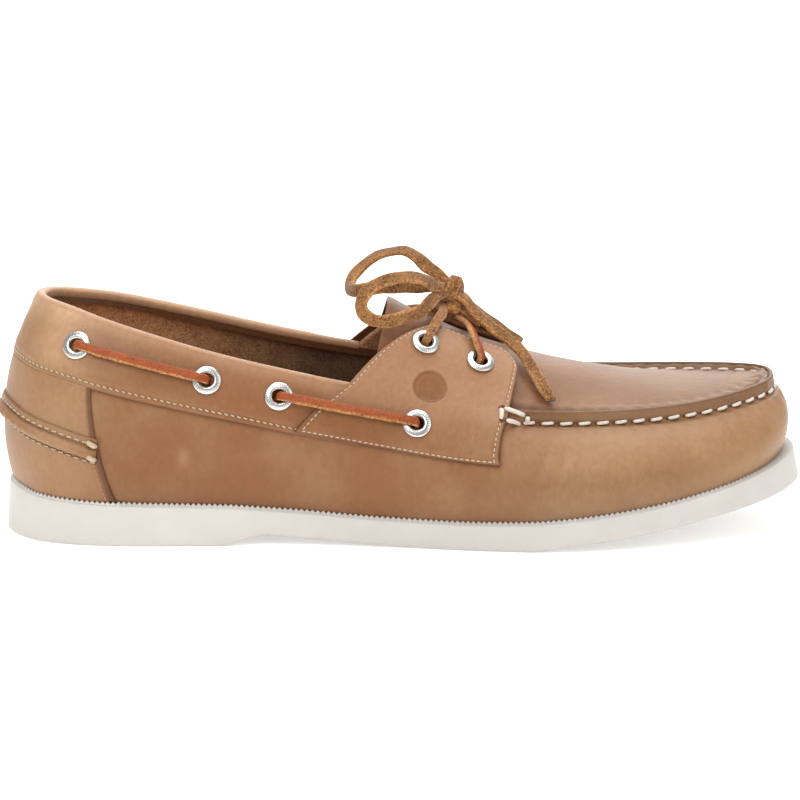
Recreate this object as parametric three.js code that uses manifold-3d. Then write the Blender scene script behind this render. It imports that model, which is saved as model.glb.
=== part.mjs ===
// A men's boat shoe for the right foot: moccasin upper on a white siped sole, laced through metal eyelets.
// Millimetres, +X to the toe, +Y to the inner (medial) side, +Z up. The origin is on the floor, under
// the middle of the shoe.
import * as THREE from 'three';
import { mergeVertices } from 'three/addons/utils/BufferGeometryUtils.js';
import Module from 'manifold-3d';

const wasm = await Module();
wasm.setup();

// Driving sizes of the shoe
const LENGTH = 301;
const BALL_WIDTH = 106;
const BACK_HEIGHT = 90;
const INSTEP_RISE = 26;
const SOLE_HEEL = 15;
const SOLE_LEDGE = 2.5;

// Leather, lining and the room that is left between pieces
const WALL = 2.2;
const COLLAR = 3.2;
const CROWN = 0.15;
const OVERLAY = 1.5;
const COUNTER = 0.9;
const BAND_STEP = 1.5;
const PLUG = 2;
const TONGUE = 2;
const INSOLE = 3;
const GAP = 0.3;
const OVERLAY_GAP = 0.4;

// The raised moccasin seam, and how far the plug lies below its top
const SEAM = 4.5;
const SEAM_DROP = 3.8;

// Heel bumper, metal eyelets and the lace
const STRAP_WIDTH = 6;
const STRAP_PROUD = 3;
const EYELET = 10.6;
const EYELET_BORE = 4.8;
const EYELET_TUBE = 0.55;
const EYELET_RISE = 1;
const LACE_WIDTH = 3.2;
const LACE_THICK = 2;
const LACE_ROUND = 3.4;

// Sections round the shoe, from the heel along the outer side to the toe and back along the inner side.
// soleX and rimX are shares of LENGTH, soleY and rimY of half BALL_WIDTH, rimZ of BACK_HEIGHT,
// ledge of SOLE_LEDGE, low and high (how far the wall bellies out) of half BALL_WIDTH,
// and crown (the ridge over the rim) of INSTEP_RISE.
const SECTION_COLUMNS = ['soleX', 'soleY', 'ledge', 'rimX', 'rimY', 'rimZ', 'low', 'high', 'crown'];
const SECTIONS = [
  [0.000, 0.000, 1.5, 0.048, 0.000, 0.994, 0.140, 0.205, 1.00],
  [0.014, -0.300, 1.6, 0.058, -0.200, 0.990, 0.130, 0.200, 1.00],
  [0.055, -0.545, 1.4, 0.088, -0.360, 0.970, 0.120, 0.225, 1.00],
  [0.130, -0.670, 1.2, 0.147, -0.490, 0.908, 0.110, 0.210, 1.00],
  [0.245, -0.700, 1.0, 0.249, -0.565, 0.806, 0.100, 0.170, 1.00],
  [0.360, -0.700, 1.0, 0.353, -0.605, 0.722, 0.100, 0.170, 1.00],
  [0.480, -0.785, 1.0, 0.465, -0.630, 0.648, 0.100, 0.200, 1.00],
  [0.595, -0.920, 1.0, 0.578, -0.660, 0.572, 0.100, 0.230, 0.70],
  [0.700, -0.985, 1.0, 0.674, -0.665, 0.549, 0.100, 0.220, 0.41],
  [0.800, -0.930, 1.0, 0.767, -0.610, 0.547, 0.100, 0.220, 0.21],
  [0.885, -0.775, 1.2, 0.847, -0.490, 0.558, 0.100, 0.220, 0.08],
  [0.948, -0.530, 1.8, 0.910, -0.300, 0.579, 0.100, 0.200, 0.01],
  [0.987, -0.210, 2.4, 0.948, -0.060, 0.599, 0.085, 0.175, 0.00],
  [1.000, 0.150, 2.8, 0.958, 0.170, 0.612, 0.080, 0.170, 0.00],
  [0.988, 0.480, 2.4, 0.949, 0.385, 0.613, 0.085, 0.175, 0.00],
  [0.948, 0.745, 1.8, 0.916, 0.545, 0.607, 0.100, 0.200, 0.01],
  [0.885, 0.915, 1.4, 0.854, 0.640, 0.600, 0.100, 0.200, 0.08],
  [0.800, 1.000, 1.2, 0.772, 0.680, 0.595, 0.100, 0.200, 0.21],
  [0.710, 0.985, 1.0, 0.682, 0.680, 0.600, 0.090, 0.190, 0.41],
  [0.610, 0.840, 1.0, 0.588, 0.660, 0.620, 0.080, 0.180, 0.70],
  [0.490, 0.650, 1.0, 0.475, 0.615, 0.685, 0.080, 0.150, 1.00],
  [0.360, 0.590, 1.0, 0.355, 0.570, 0.762, 0.080, 0.140, 1.00],
  [0.245, 0.640, 1.0, 0.249, 0.535, 0.848, 0.100, 0.160, 1.00],
  [0.130, 0.660, 1.2, 0.147, 0.475, 0.930, 0.110, 0.200, 1.00],
  [0.055, 0.545, 1.4, 0.088, 0.350, 0.968, 0.120, 0.225, 1.00],
  [0.014, 0.300, 1.6, 0.058, 0.195, 0.990, 0.130, 0.200, 1.00],
];
const ROUND = SECTIONS.length;
const TOE = ROUND / 2;

// How far short of the very heel and toe, in sections, the pieces that lie across the shoe end
const TIP = 0.06;

// The sole seen from the side: x as a share of LENGTH, top and low as shares of SOLE_HEEL
const PROFILE_COLUMNS = ['x', 'top', 'low'];
const PROFILE = [
  [0.00, 1.27, 0.00],
  [0.04, 1.12, 0.00],
  [0.13, 1.01, 0.00],
  [0.27, 0.95, 0.00],
  [0.32, 0.88, 0.25],
  [0.36, 0.82, 0.20],
  [0.48, 0.66, 0.03],
  [0.56, 0.63, 0.00],
  [0.64, 0.66, 0.00],
  [0.70, 0.76, 0.13],
  [0.80, 1.03, 0.42],
  [0.885, 1.36, 0.73],
  [0.95, 1.66, 0.94],
  [1.00, 1.87, 1.07],
];

// Where the pieces lie on the upper: s counts sections, v goes from the sole (0) to the rim (1) and on
// over the instep to its ridge (2)
const SEAM_START = 7.3;
const SEAM_FULL = 7.8;
const SEAM_FOOT = 0.88;
const BAND_BACK = 0.6;
const BAND_FALL = 0.095;
const BAND_CURVE = 1.35;
const BAND_END = 5.05;
const BAND_FADE = 0.5;
const STAY = {
  rearFoot: 5.05,
  rearTop: 6.55,
  frontFoot: 7.28,
  frontTop: 7.55,
  rearV: 0.535,
  frontV: 0.475,
  topV: 1.66,
  cornerV: 1.41,
  cornerRound: 0.25,
};
const COUNTER_TOP = 2.67;
const COUNTER_FOOT = 3.1;
const STRAP = { end: 2.72, backV: 0.375, endV: 0.27 };
const TONGUE_REAR = 5.85;
const TONGUE_FRONT = 7.0;
const TONGUE_SIDE = 0.3;
const TONGUE_ROUND = 0.22;
const TONGUE_FLIP = 1.5;
const WING_LIFT = 0.4;
const EYELETS = [[2.32, 0.785], [4.04, 0.78], [4.89, 0.775], [6.42, 0.75], [6.45, 1.4], [7.07, 1.385]];

// Short helpers
const clamp = (t) => Math.min(1, Math.max(0, t));
const mix = (a, b, t) => a + (b - a) * t;
const smooth = (a, b, t) => {
  const u = clamp((t - a) / (b - a));
  return u * u * (3 - 2 * u);
};
const vec = (x, y, z) => new THREE.Vector3(x, y, z);
const lerp = (a, b, t) => a.clone().lerp(b, t);
const range = (a, b, n) => Array.from({ length: n + 1 }, (_, i) => mix(a, b, i / n));
const side = (s) => Math.min(s, ROUND - s);

// A column of the section table at any place round the shoe, as a smooth closed curve
function round(column, s) {
  const c = SECTION_COLUMNS.indexOf(column);
  const t = ((s % ROUND) + ROUND) % ROUND;
  const i = Math.floor(t);
  const f = t - i;
  const [a, b, d, e] = [-1, 0, 1, 2].map((k) => SECTIONS[(i + k + ROUND) % ROUND][c]);
  const curve = (3 * b - 3 * d + e - a) * f ** 3 + (2 * a - 5 * b + 4 * d - e) * f ** 2 + (d - a) * f;
  return b + curve / 2;
}

// The sole's top or low edge at a length x, without overshoot between the rows
function profile(column, x) {
  const c = PROFILE_COLUMNS.indexOf(column);
  const t = clamp(x / LENGTH);
  const i = Math.min(PROFILE.length - 2, Math.max(0, PROFILE.findIndex((row) => row[0] > t) - 1));
  const slope = (k) => {
    if (k < 0 || k > PROFILE.length - 2) return 0;
    return (PROFILE[k + 1][c] - PROFILE[k][c]) / (PROFILE[k + 1][0] - PROFILE[k][0]);
  };
  const knot = (k) => {
    const before = slope(k - 1);
    const after = slope(k);
    return before * after <= 0 ? 0 : (2 * before * after) / (before + after);
  };
  const j = t >= 1 ? PROFILE.length - 2 : i;
  const h = PROFILE[j + 1][0] - PROFILE[j][0];
  const f = (t - PROFILE[j][0]) / h;
  const start = (2 * f ** 3 - 3 * f ** 2 + 1) * PROFILE[j][c] + (f ** 3 - 2 * f ** 2 + f) * h * knot(j);
  const end = (3 * f ** 2 - 2 * f ** 3) * PROFILE[j + 1][c] + (f ** 3 - f ** 2) * h * knot(j + 1);
  return (start + end) * SOLE_HEEL;
}

// The sole's outline on the floor, and the level direction that points out of it
const soleEdge = (s) => vec(round('soleX', s) * LENGTH, (round('soleY', s) * BALL_WIDTH) / 2, 0);
function outward(s) {
  const step = soleEdge(s + 0.001).sub(soleEdge(s - 0.001));
  return vec(step.y, -step.x, 0).normalize();
}

// The feather line, where the upper meets the sole, and the rim: collar behind, moccasin seam in front
function feather(s) {
  const p = soleEdge(s).addScaledVector(outward(s), -round('ledge', s) * SOLE_LEDGE);
  p.z = profile('top', p.x) + GAP;
  return p;
}
function rim(s) {
  const y = (round('rimY', s) * BALL_WIDTH) / 2;
  return vec(round('rimX', s) * LENGTH, y, round('rimZ', s) * BACK_HEIGHT);
}
const inFront = (s) => smooth(SEAM_START, SEAM_FULL, side(s));

// The upper's outer face from the sole to the rim. In front it ends in the upright seam.
function wall(s, v) {
  const foot = feather(s);
  const top = rim(s);
  const out = outward(s);
  const tall = top.z - foot.z;
  const belly = (round('high', s) * BALL_WIDTH) / 2;
  const behind = vec(0, 0, -0.3 * tall).addScaledVector(out, belly);
  const front = inFront(s);
  const neck = top.clone().addScaledVector(behind, (1 - front) / 3);
  neck.z -= SEAM * front;
  if (v > SEAM_FOOT) return lerp(neck, top, (v - SEAM_FOOT) / (1 - SEAM_FOOT));
  const a = foot.clone().addScaledVector(out, (round('low', s) * BALL_WIDTH) / 2);
  a.z += 0.36 * tall;
  const b = lerp(top.clone().add(behind), neck.clone().addScaledVector(out, belly * 0.9), front);
  b.z -= 0.1 * tall * front;
  return new THREE.CubicBezierCurve3(foot, a, b, neck).getPoint(v / SEAM_FOOT);
}

// Over the instep from the rim (0) to the ridge (1). The plug lies lower at its edge than the wings do.
function instep(s, w, drop) {
  const across = w / 2;
  const p = lerp(rim(s), rim(ROUND - s), across);
  const arch = 1 - (1 - w) ** 2.1;
  p.z += round('crown', side(s)) * INSTEP_RISE * arch - drop * (1 - arch);
  return p;
}
const skin = (s, v) => (v > 1 ? instep(s, v - 1, 0) : wall(s, v));
const plugFace = (s, w) => instep(s, w, SEAM_DROP);

// A point at a distance off a face, along its outward normal
function off(face, s, v, distance, vMin, vMax) {
  const e = 0.004;
  const ds = face(s + e, v).sub(face(s - e, v));
  const dv = face(s, Math.min(vMax, v + e)).sub(face(s, Math.max(vMin, v - e)));
  return face(s, v).addScaledVector(ds.cross(dv).normalize(), distance);
}
const onWall = (s, v, d) => off(wall, s, v, d, 0, 1);
const onSkin = (s, v, d) => (v > 1 ? off(skin, s, v, d, 1.0001, 2) : onWall(s, v, d));

// The collar band's lower edge, and how far the leather of the upper stands out at each place
function bandEdge(s) {
  return BAND_BACK - BAND_FALL * Math.min(1.2, side(s) / BAND_END) ** BAND_CURVE;
}
const bandStep = (s) => BAND_STEP * (1 - smooth(BAND_END, BAND_END + BAND_FADE, side(s)));
const lift = (v) => (WALL + WING_LIFT) * smooth(1, 1.5, v);
function leather(s, v) {
  const band = v > bandEdge(s) ? bandStep(s) : 0;
  return band + lift(v);
}

// Closed solids from grids of points, with near points joined
function solid(points, quads) {
  const g = new THREE.BufferGeometry();
  g.setAttribute('position', new THREE.Float32BufferAttribute(points.flatMap((p) => [p.x, p.y, p.z]), 3));
  g.setIndex(quads.flatMap(([a, b, c, d]) => [a, b, c, a, c, d]));
  return tidy(g);
}
const NEAR = 1e-3;
function tidy(geometry) {
  geometry.deleteAttribute('normal');
  geometry.deleteAttribute('uv');
  const g = mergeVertices(geometry, NEAR);
  const index = [...g.index.array];
  const kept = [];
  for (let i = 0; i < index.length; i += 3) {
    const [a, b, c] = index.slice(i, i + 3);
    if (a !== b && b !== c && a !== c) kept.push(a, b, c);
  }
  g.setIndex(kept);
  return g;
}
// sections are closed outlines with the same number of points, and the last joins the first
function loopSolid(sections) {
  const n = sections[0].length;
  const quads = [];
  sections.forEach((_, i) => {
    const j = (i + 1) % sections.length;
    for (let k = 0; k < n; k += 1) {
      const l = (k + 1) % n;
      quads.push([i * n + k, j * n + k, j * n + l, i * n + l]);
    }
  });
  return solid(sections.flat(), quads);
}
// outer and inner are grids of the same size; a strip of faces closes their four sides
function slab(outer, inner) {
  const rows = outer.length;
  const cols = outer[0].length;
  const at = (i, j) => i * cols + j;
  const under = (i, j) => rows * cols + at(i, j);
  const quads = [];
  for (let i = 0; i + 1 < rows; i += 1) {
    for (let j = 0; j + 1 < cols; j += 1) {
      quads.push([at(i, j), at(i + 1, j), at(i + 1, j + 1), at(i, j + 1)]);
      quads.push([under(i, j), under(i, j + 1), under(i + 1, j + 1), under(i + 1, j)]);
    }
    const last = cols - 1;
    quads.push([at(i + 1, 0), at(i, 0), under(i, 0), under(i + 1, 0)]);
    quads.push([at(i, last), at(i + 1, last), under(i + 1, last), under(i, last)]);
  }
  const end = rows - 1;
  for (let j = 0; j + 1 < cols; j += 1) {
    quads.push([at(0, j), at(0, j + 1), under(0, j + 1), under(0, j)]);
    quads.push([at(end, j + 1), at(end, j), under(end, j), under(end, j + 1)]);
  }
  return solid([...outer.flat(), ...inner.flat()], quads);
}

// Joins and cuts
function toManifold(geometry) {
  const g = geometry.index ? geometry : mergeVertices(geometry);
  const vertProperties = new Float32Array(g.attributes.position.array);
  const triVerts = new Uint32Array(g.index.array);
  return new wasm.Manifold(new wasm.Mesh({ numProp: 3, vertProperties, triVerts }));
}
function fromManifold(body) {
  const mesh = body.getMesh();
  const g = new THREE.BufferGeometry();
  g.setAttribute('position', new THREE.BufferAttribute(mesh.vertProperties, 3));
  g.setIndex(new THREE.BufferAttribute(mesh.triVerts, 1));
  return tidy(g);
}
function join(...parts) {
  return fromManifold(parts.map(toManifold).reduce((a, b) => a.add(b)));
}
function cut(body, tools) {
  const start = toManifold(body);
  return fromManifold(tools.map(toManifold).reduce((a, b) => a.subtract(b), start));
}

// Places round the shoe where the sole's outline reaches a given length, on the outer side
function sectionAt(x) {
  let [a, b] = [0, TOE];
  for (let i = 0; i < 30; i += 1) {
    const m = (a + b) / 2;
    if (soleEdge(m).x < x) a = m;
    else b = m;
  }
  return (a + b) / 2;
}

// Rubber sole: flat heel and forefoot, a raised arch between them, toe spring and a flared side
function outsole() {
  const flare = 0.3;
  const edgeRound = 1.2;
  const breast = PROFILE.slice(3, 5).map((row) => sectionAt(row[0] * LENGTH));
  const ball = PROFILE.slice(7, 9).map((row) => sectionAt(row[0] * LENGTH));
  const behind = [TIP, 0.3, 0.65, 1, 1.5, 2, 2.6, 3.3, 3.8, 5, 5.5, 6.2];
  const ahead = range(8, TOE - TIP, 10);
  const stations = [...behind, ...ahead, ...breast, ...ball].sort((a, b) => a - b);
  const edge = (s, inset, z) => {
    const p = soleEdge(s).addScaledVector(outward(s), -inset);
    p.z = z(p.x);
    return p;
  };
  const across = (s, inset, z, n) => {
    const [a, b] = [edge(s, inset, z), edge(ROUND - s, inset, z)];
    return range(0, 1, n).map((t) => {
      const p = lerp(a, b, t);
      p.z = z(p.x);
      return p;
    });
  };
  const low = (x) => profile('low', x);
  const top = (x) => profile('top', x);
  const ledge = (s) => round('ledge', s) * SOLE_LEDGE * flare;
  const belt = (x) => mix(low(x), top(x), 0.5);
  const upperRow = (s) => [
    edge(s, ledge(s) / 2, belt),
    ...across(s, ledge(s), top, 6),
    edge(ROUND - s, ledge(s) / 2, belt),
  ];
  const lowerRow = (s) => [
    edge(s, 0, (x) => low(x) + edgeRound),
    ...across(s, edgeRound, low, 6),
    edge(ROUND - s, 0, (x) => low(x) + edgeRound),
  ];
  return slab(stations.map(upperRow), stations.map(lowerRow));
}

// Sock on its board, inside the wall
function insole() {
  const stations = range(TIP, TOE - TIP, 18);
  const face = (height) => (s) => {
    const place = (t) => {
      const p = feather(t).addScaledVector(outward(t), -(WALL + 2 * GAP));
      p.z = profile('top', p.x) + height;
      return p;
    };
    const [a, b] = [place(s), place(ROUND - s)];
    return range(0, 1, 4).map((t) => {
      const p = lerp(a, b, t);
      p.z = profile('top', p.x) + height;
      return p;
    });
  };
  return slab(stations.map(face(GAP + INSOLE)), stations.map(face(GAP)));
}

// Hollow wall of the upper, all the way round, with the collar band as a step and a thicker top edge
function wallRing() {
  const stations = range(0, ROUND, 64).slice(0, -1);
  const crease = 0.004;
  return loopSolid(
    stations.map((s) => {
      const band = bandEdge(s);
      const rows = [0, 0.2, 0.45, 0.7, 0.9].map((t) => t * band);
      const overBand = [0.35, 0.7, 1].map((t) => mix(band, SEAM_FOOT, t));
      rows.push(band - crease, band + crease, ...overBand, 1);
      const outer = rows.map((v) => onWall(s, v, leather(s, v)));
      const thick = (v) => mix(WALL, COLLAR, smooth(0.7, 1, v));
      const inside = (v) => onWall(s, v, leather(s, 1) * smooth(0.5, 0.9, v) - thick(v));
      const inner = [1, SEAM_FOOT, 0.66, 0.42, 0.2, 0].map(inside);
      const [a, b] = [outer.at(-1), inner[0]];
      const crown = lerp(a, b, 0.5);
      const pastBand = smooth(BAND_END, BAND_END + BAND_FADE, side(s));
      const covered = pastBand * (1 - smooth(STAY.frontTop - 0.1, STAY.frontTop, side(s)));
      crown.z += COLLAR * CROWN * (1 - covered);
      return [...outer, crown, ...inner];
    }),
  );
}

// A patch on the upper between two offsets. place(a, b) gives s and v from shares along and up the patch.
function patch(place, along, up, outerOff, innerOff, mirrored) {
  const grid = (offset) =>
    range(0, 1, up).map((b) =>
      range(0, 1, along).map((a) => {
        const [s, v] = place(a, b);
        return onSkin(mirrored ? ROUND - s : s, v, offset(s, v));
      }),
    );
  const [outer, inner] = [grid(outerOff), grid(innerOff)];
  return mirrored ? slab(outer, inner) : slab(inner, outer);
}

// The eyestay's outline: a slanted rear edge and an upright front edge
const stayRear = (v) => mix(STAY.rearFoot, STAY.rearTop, (v - STAY.rearV) / (STAY.topV - STAY.rearV));
function stayFront(v) {
  const foot = clamp((STAY.cornerV - v) / (STAY.cornerV - STAY.rearV));
  const corner = clamp((v - STAY.cornerV) / (STAY.topV - STAY.cornerV));
  return STAY.frontTop - (STAY.frontTop - STAY.frontFoot) * foot ** 1.5 - STAY.cornerRound * corner ** 2;
}
const RIM_ROW = 0.5;
function bent(low, high, b) {
  if (b < RIM_ROW) return mix(low, 1, b / RIM_ROW);
  return mix(1, high, (b - RIM_ROW) / (1 - RIM_ROW));
}
function stayPlace(a, b) {
  const v = bent(mix(STAY.rearV, STAY.frontV, a), STAY.topV, b);
  return [mix(stayRear(v), stayFront(v), a), v];
}

// Backing of the eyestay, which rises from the wall over the tongue
function wing(mirrored) {
  const foot = 0.9;
  const inset = 0.05;
  const place = (a, b) => {
    const v = bent(foot, STAY.topV - 0.02, b);
    return [mix(stayRear(v) + inset, stayFront(v) - inset, a), v];
  };
  const outer = (s, v) => (v > 1 ? lift(v) : -0.2);
  return patch(place, 6, 8, outer, (s, v) => outer(s, v) - WALL + 0.2, mirrored);
}

// Moccasin plug over the toes, sewn inside the raised seam
function plug() {
  const stations = range(TONGUE_FRONT + 0.05, TOE - TIP, 14);
  const across = [-1, -0.72, -0.4, 0, 0.4, 0.72, 1];
  const row = (depth) => (s) => across.map((t) => onPlugAcross(s, t, -depth));
  return slab(stations.map(row(0)), stations.map(row(PLUG)));
}
// t runs from the outer side (-1) over the ridge (0) to the inner side (1)
function onPlugAcross(s, t, d) {
  const p = t <= 0 ? plugFace(s, 1 + t) : plugFace(ROUND - s, 1 - t);
  p.z += d;
  return p;
}

// Eyelets: where they sit, and which way they face
function eyeletPlace([s, v], mirrored) {
  const t = mirrored ? ROUND - s : s;
  const overlay = s > BAND_END + BAND_FADE ? OVERLAY_GAP + OVERLAY : 0;
  const base = onSkin(t, v, leather(s, v) + overlay + GAP);
  const normal = onSkin(t, v, 1).sub(onSkin(t, v, 0)).normalize();
  return { base, normal };
}
function standOn(object, { base, normal }) {
  object.position.copy(base);
  object.quaternion.setFromUnitVectors(vec(0, 0, 1), normal);
  return object;
}
const bothSides = [false, true];
const places = bothSides.map((mirrored) => EYELETS.map((e) => eyeletPlace(e, mirrored)));

function eyeletGeometry() {
  const bore = EYELET_BORE / 2;
  const tube = bore + EYELET_TUBE;
  const flange = EYELET / 2;
  const depth = OVERLAY + WALL + 2 * GAP;
  const outline = [
    [bore, -depth],
    [tube, -depth],
    [tube, 0],
    [flange, 0],
    [flange * 0.94, EYELET_RISE * 0.6],
    [mix(tube, flange, 0.45), EYELET_RISE],
    [bore, EYELET_RISE * 0.3],
    [bore, -depth],
  ];
  const g = new THREE.LatheGeometry(outline.map(([r, z]) => new THREE.Vector2(r, z)), 12);
  g.rotateX(Math.PI / 2);
  return tidy(g);
}
function hole(place) {
  const g = new THREE.CylinderGeometry(1, 1, 16, 12);
  const r = (EYELET_BORE / 2 + EYELET_TUBE + GAP) / Math.cos(Math.PI / 12);
  g.scale(r, 1, r);
  g.rotateX(Math.PI / 2);
  const m = standOn(new THREE.Object3D(), place);
  m.updateMatrix();
  g.applyMatrix4(m.matrix);
  return tidy(g);
}
const holes = places.map((row) => row.map(hole));

function upper() {
  const body = join(wallRing(), wing(false), wing(true), plug());
  return cut(body, holes.flat());
}

// Leather eyestay on each side
function eyestay(mirrored) {
  const inner = (s, v) => bandStep(s) + lift(v) + OVERLAY_GAP;
  const g = patch(stayPlace, 7, 8, (s, v) => inner(s, v) + OVERLAY, inner, mirrored);
  return cut(g, holes[mirrored ? 1 : 0].slice(3));
}

// Heel counter, tucked under the collar band
function heelCounter() {
  const front = (b) => COUNTER_TOP + (COUNTER_FOOT - COUNTER_TOP) * (1 - b) ** 1.4;
  const topGap = 0.02;
  const footGap = 0.012;
  const grid = (offset) =>
    range(0, 1, 4).map((b) =>
      range(-1, 1, 18).map((a) => {
        const s = a * front(b);
        const v = mix(footGap, bandEdge(Math.abs(s)) - topGap, b);
        return onWall(s, v, offset);
      }),
    );
  return slab(grid(OVERLAY_GAP), grid(OVERLAY_GAP + COUNTER));
}

// Padded bumper sewn across the counter
function heelStrap() {
  const base = OVERLAY_GAP * 2 + COUNTER;
  const section = [[-0.5, 0.1], [-0.36, 0.72], [0, 1], [0.36, 0.72], [0.5, 0.1]];
  const grid = (raise) =>
    section.map(([up, proud]) =>
      range(-1, 1, 18).map((a) => {
        const s = a * STRAP.end;
        const line = mix(STRAP.backV, STRAP.endV, Math.abs(a) ** 1.6);
        const v = line + (up * STRAP_WIDTH) / (rim(s).z - feather(s).z);
        return onWall(s, v, base + (raise ? proud * STRAP_PROUD : 0));
      }),
    );
  return slab(grid(false), grid(true));
}

// Tongue under the wings
function tongue() {
  const across = range(TONGUE_SIDE - 1, 1 - TONGUE_SIDE, 8);
  const flip = (a, t) => TONGUE_FLIP * (1 - smooth(0, 0.35, a)) * (1 - smooth(0.2, 0.6, Math.abs(t)));
  const row = (depth) => (a) =>
    across.map((t) => {
      const rear = TONGUE_REAR + TONGUE_ROUND * (1 - t * t);
      return onPlugAcross(mix(rear, TONGUE_FRONT, a), t, flip(a, t) - depth);
    });
  const along = range(0, 1, 6);
  return slab(along.map(row(0)), along.map(row(TONGUE)));
}

// A flat strip of lace along points, each with the direction that its face looks and a share of the width
function ribbon(path, width, thick) {
  const points = path.map((row) => row[0]);
  const grid = (level) =>
    path.map(([p, look, share], i) => {
      const before = points[Math.max(0, i - 1)];
      const after = points[Math.min(points.length - 1, i + 1)];
      const along = after.clone().sub(before).normalize();
      const across = along.clone().cross(look).normalize();
      const face = across.clone().cross(along).normalize();
      const half = (share * width) / 2;
      const centre = p.clone().addScaledVector(face, level * thick);
      return [-1, 1].map((k) => centre.clone().addScaledVector(across, k * half));
    });
  return slab(grid(-0.5), grid(0.5));
}

// The lace comes straight out of an eyelet's bore and bends over its rim towards a direction
const LACE_DOWN = 1.2;
const LACE_SQUEEZE = 0.72;
const LACE_OVER = EYELET_RISE + LACE_THICK / 2 + GAP * 2;
function outOfEyelet({ base, normal }, towards) {
  const at = (up, along) => base.clone().addScaledVector(normal, up).addScaledVector(towards, along);
  return [
    [at(-LACE_DOWN, 0.1), towards.clone().negate(), LACE_SQUEEZE],
    [at(EYELET_RISE * 0.6, 0.15), towards.clone().negate(), LACE_SQUEEZE],
    [at(LACE_OVER, LACE_THICK * 0.7), normal.clone().sub(towards), 0.85],
  ];
}
const onto = (s, v, height, mirrored) => {
  const place = mirrored ? ROUND - s : s;
  const p = onSkin(place, v, height);
  return [p, onSkin(place, v, height + 1).sub(p), 1];
};
function flat(towards, { normal }) {
  return towards.clone().addScaledVector(normal, -towards.dot(normal)).normalize();
}

// Lace lying outside between two eyelets of one side
function laceRun(first, second, mirrored) {
  const row = places[mirrored ? 1 : 0];
  const [a, b] = [row[first], row[second]];
  const along = b.base.clone().sub(a.base);
  const [sA, vA] = EYELETS[first];
  const [sB, vB] = EYELETS[second];
  const middle = range(0.2, 0.8, 4).map((t) => {
    const [s, v] = [mix(sA, sB, t), mix(vA, vB, t)];
    const overlay = (OVERLAY_GAP + OVERLAY) * smooth(STAY.rearFoot - 0.3, STAY.rearFoot + 0.3, s);
    return onto(s, v, bandStep(s) + overlay + LACE_OVER, mirrored);
  });
  const start = outOfEyelet(a, flat(along, a));
  const end = outOfEyelet(b, flat(along.clone().negate(), b)).reverse();
  return ribbon([...start, ...middle, ...end], LACE_WIDTH, LACE_THICK);
}

// The crossing over the tongue: a bar from each pair of upper eyelets, joined by the first half knot
const HALF_KNOT = { s: 6.72, size: [11, 9, 5.5], above: 6.2 };
const CROSSINGS = [
  { eyelet: 4, sMiddle: 6.62, above: 7.4 },
  { eyelet: 5, sMiddle: 6.84, above: 5.6 },
];
function crossingBar({ eyelet, sMiddle, above }) {
  const half = (mirrored) => {
    const place = places[mirrored ? 1 : 0][eyelet];
    const [s, v] = EYELETS[eyelet];
    const cover = (at) => lift(at) + OVERLAY_GAP + OVERLAY + LACE_OVER;
    const next = onto(mix(s, sMiddle, 0.5), 1.62, cover(1.62), mirrored);
    const towards = flat(next[0].clone().sub(place.base), place);
    const last = onto(mix(s, sMiddle, 0.8), 1.8, mix(cover(1.8), above, 0.6), mirrored);
    return [...outOfEyelet(place, towards), next, last];
  };
  const middle = [onPlugAcross(sMiddle, 0, above), vec(0, 0, 1), 1];
  return ribbon([...half(false), middle, ...half(true).reverse()], LACE_WIDTH, LACE_THICK);
}
function ball([length, width, height], centre) {
  const g = new THREE.SphereGeometry(0.5, 10, 8);
  g.scale(length, width, height);
  g.translate(centre.x, centre.y, centre.z);
  return tidy(g);
}
function laceCrossing() {
  const half = onPlugAcross(HALF_KNOT.s, 0, HALF_KNOT.above);
  return join(...CROSSINGS.map(crossingBar), ball(HALF_KNOT.size, half));
}

// The bow: its knot, two loops and two ends. Points are in mm from the knot's centre, which lies over the
// ridge of the instep.
const BOW_PLACE = 6.754;
const BOW_HEIGHT = 14;
const BOW = onPlugAcross(BOW_PLACE, 0, BOW_HEIGHT);
const KNOT_SIZE = [10.6, 10, 8.4];
const LOOP_NEAR = [
  [-5.6, -5.6, 1.8], [-8.4, -9.0, 4.0], [-12.4, -13.0, 6.4], [-18.8, -17.0, 7.6],
  [-24.9, -20.5, 6.9], [-29.8, -23.0, 5.2], [-33.2, -24.5, 1.7], [-34.1, -25.0, -1.9],
  [-32.8, -25.2, -5.0], [-29.1, -24.6, -7.2], [-23.5, -23.0, -7.8], [-17.4, -19.8, -6.6],
  [-12.0, -15.4, -5.8], [-8.4, -11.2, -3.4], [-5.8, -7.0, -1.8],
];
const LOOP_FAR = [
  [-4.8, 2.4, 5.4], [-8.7, 4.0, 7.8], [-12.4, 6.0, 11.0], [-16.9, 9.0, 12.9],
  [-21.9, 11.0, 12.2], [-27.2, 12.0, 10.5], [-32.5, 12.0, 6.7], [-36.3, 10.0, 2.9],
  [-37.4, 6.0, 0.1], [-36.6, 0.6, -0.4], [-34.0, -3.6, 0.2], [-29.3, -6.0, 1.4],
  [-25.0, -6.6, 2.1], [-20.0, -5.6, 2.0], [-14.5, -3.4, 1.6], [-7.4, -1.2, 1.2],
];
const END_NEAR = [
  [5.6, -3.9, -3.8], [9.4, -5.5, -8.4], [14.9, -7.4, -13.2], [20.7, -8.4, -17.4],
  [26.3, -11.8, -22.2], [31.4, -21.0, -29.6], [36.2, -30.0, -36.8],
];
const END_FAR = [
  [6.0, 3.9, -3.4], [8.4, 4.6, -6.2], [12.6, 6.0, -9.6], [17.7, 7.6, -13.6],
  [22.7, 8.4, -17.8], [27.2, 8.4, -21.2],
];
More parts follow.
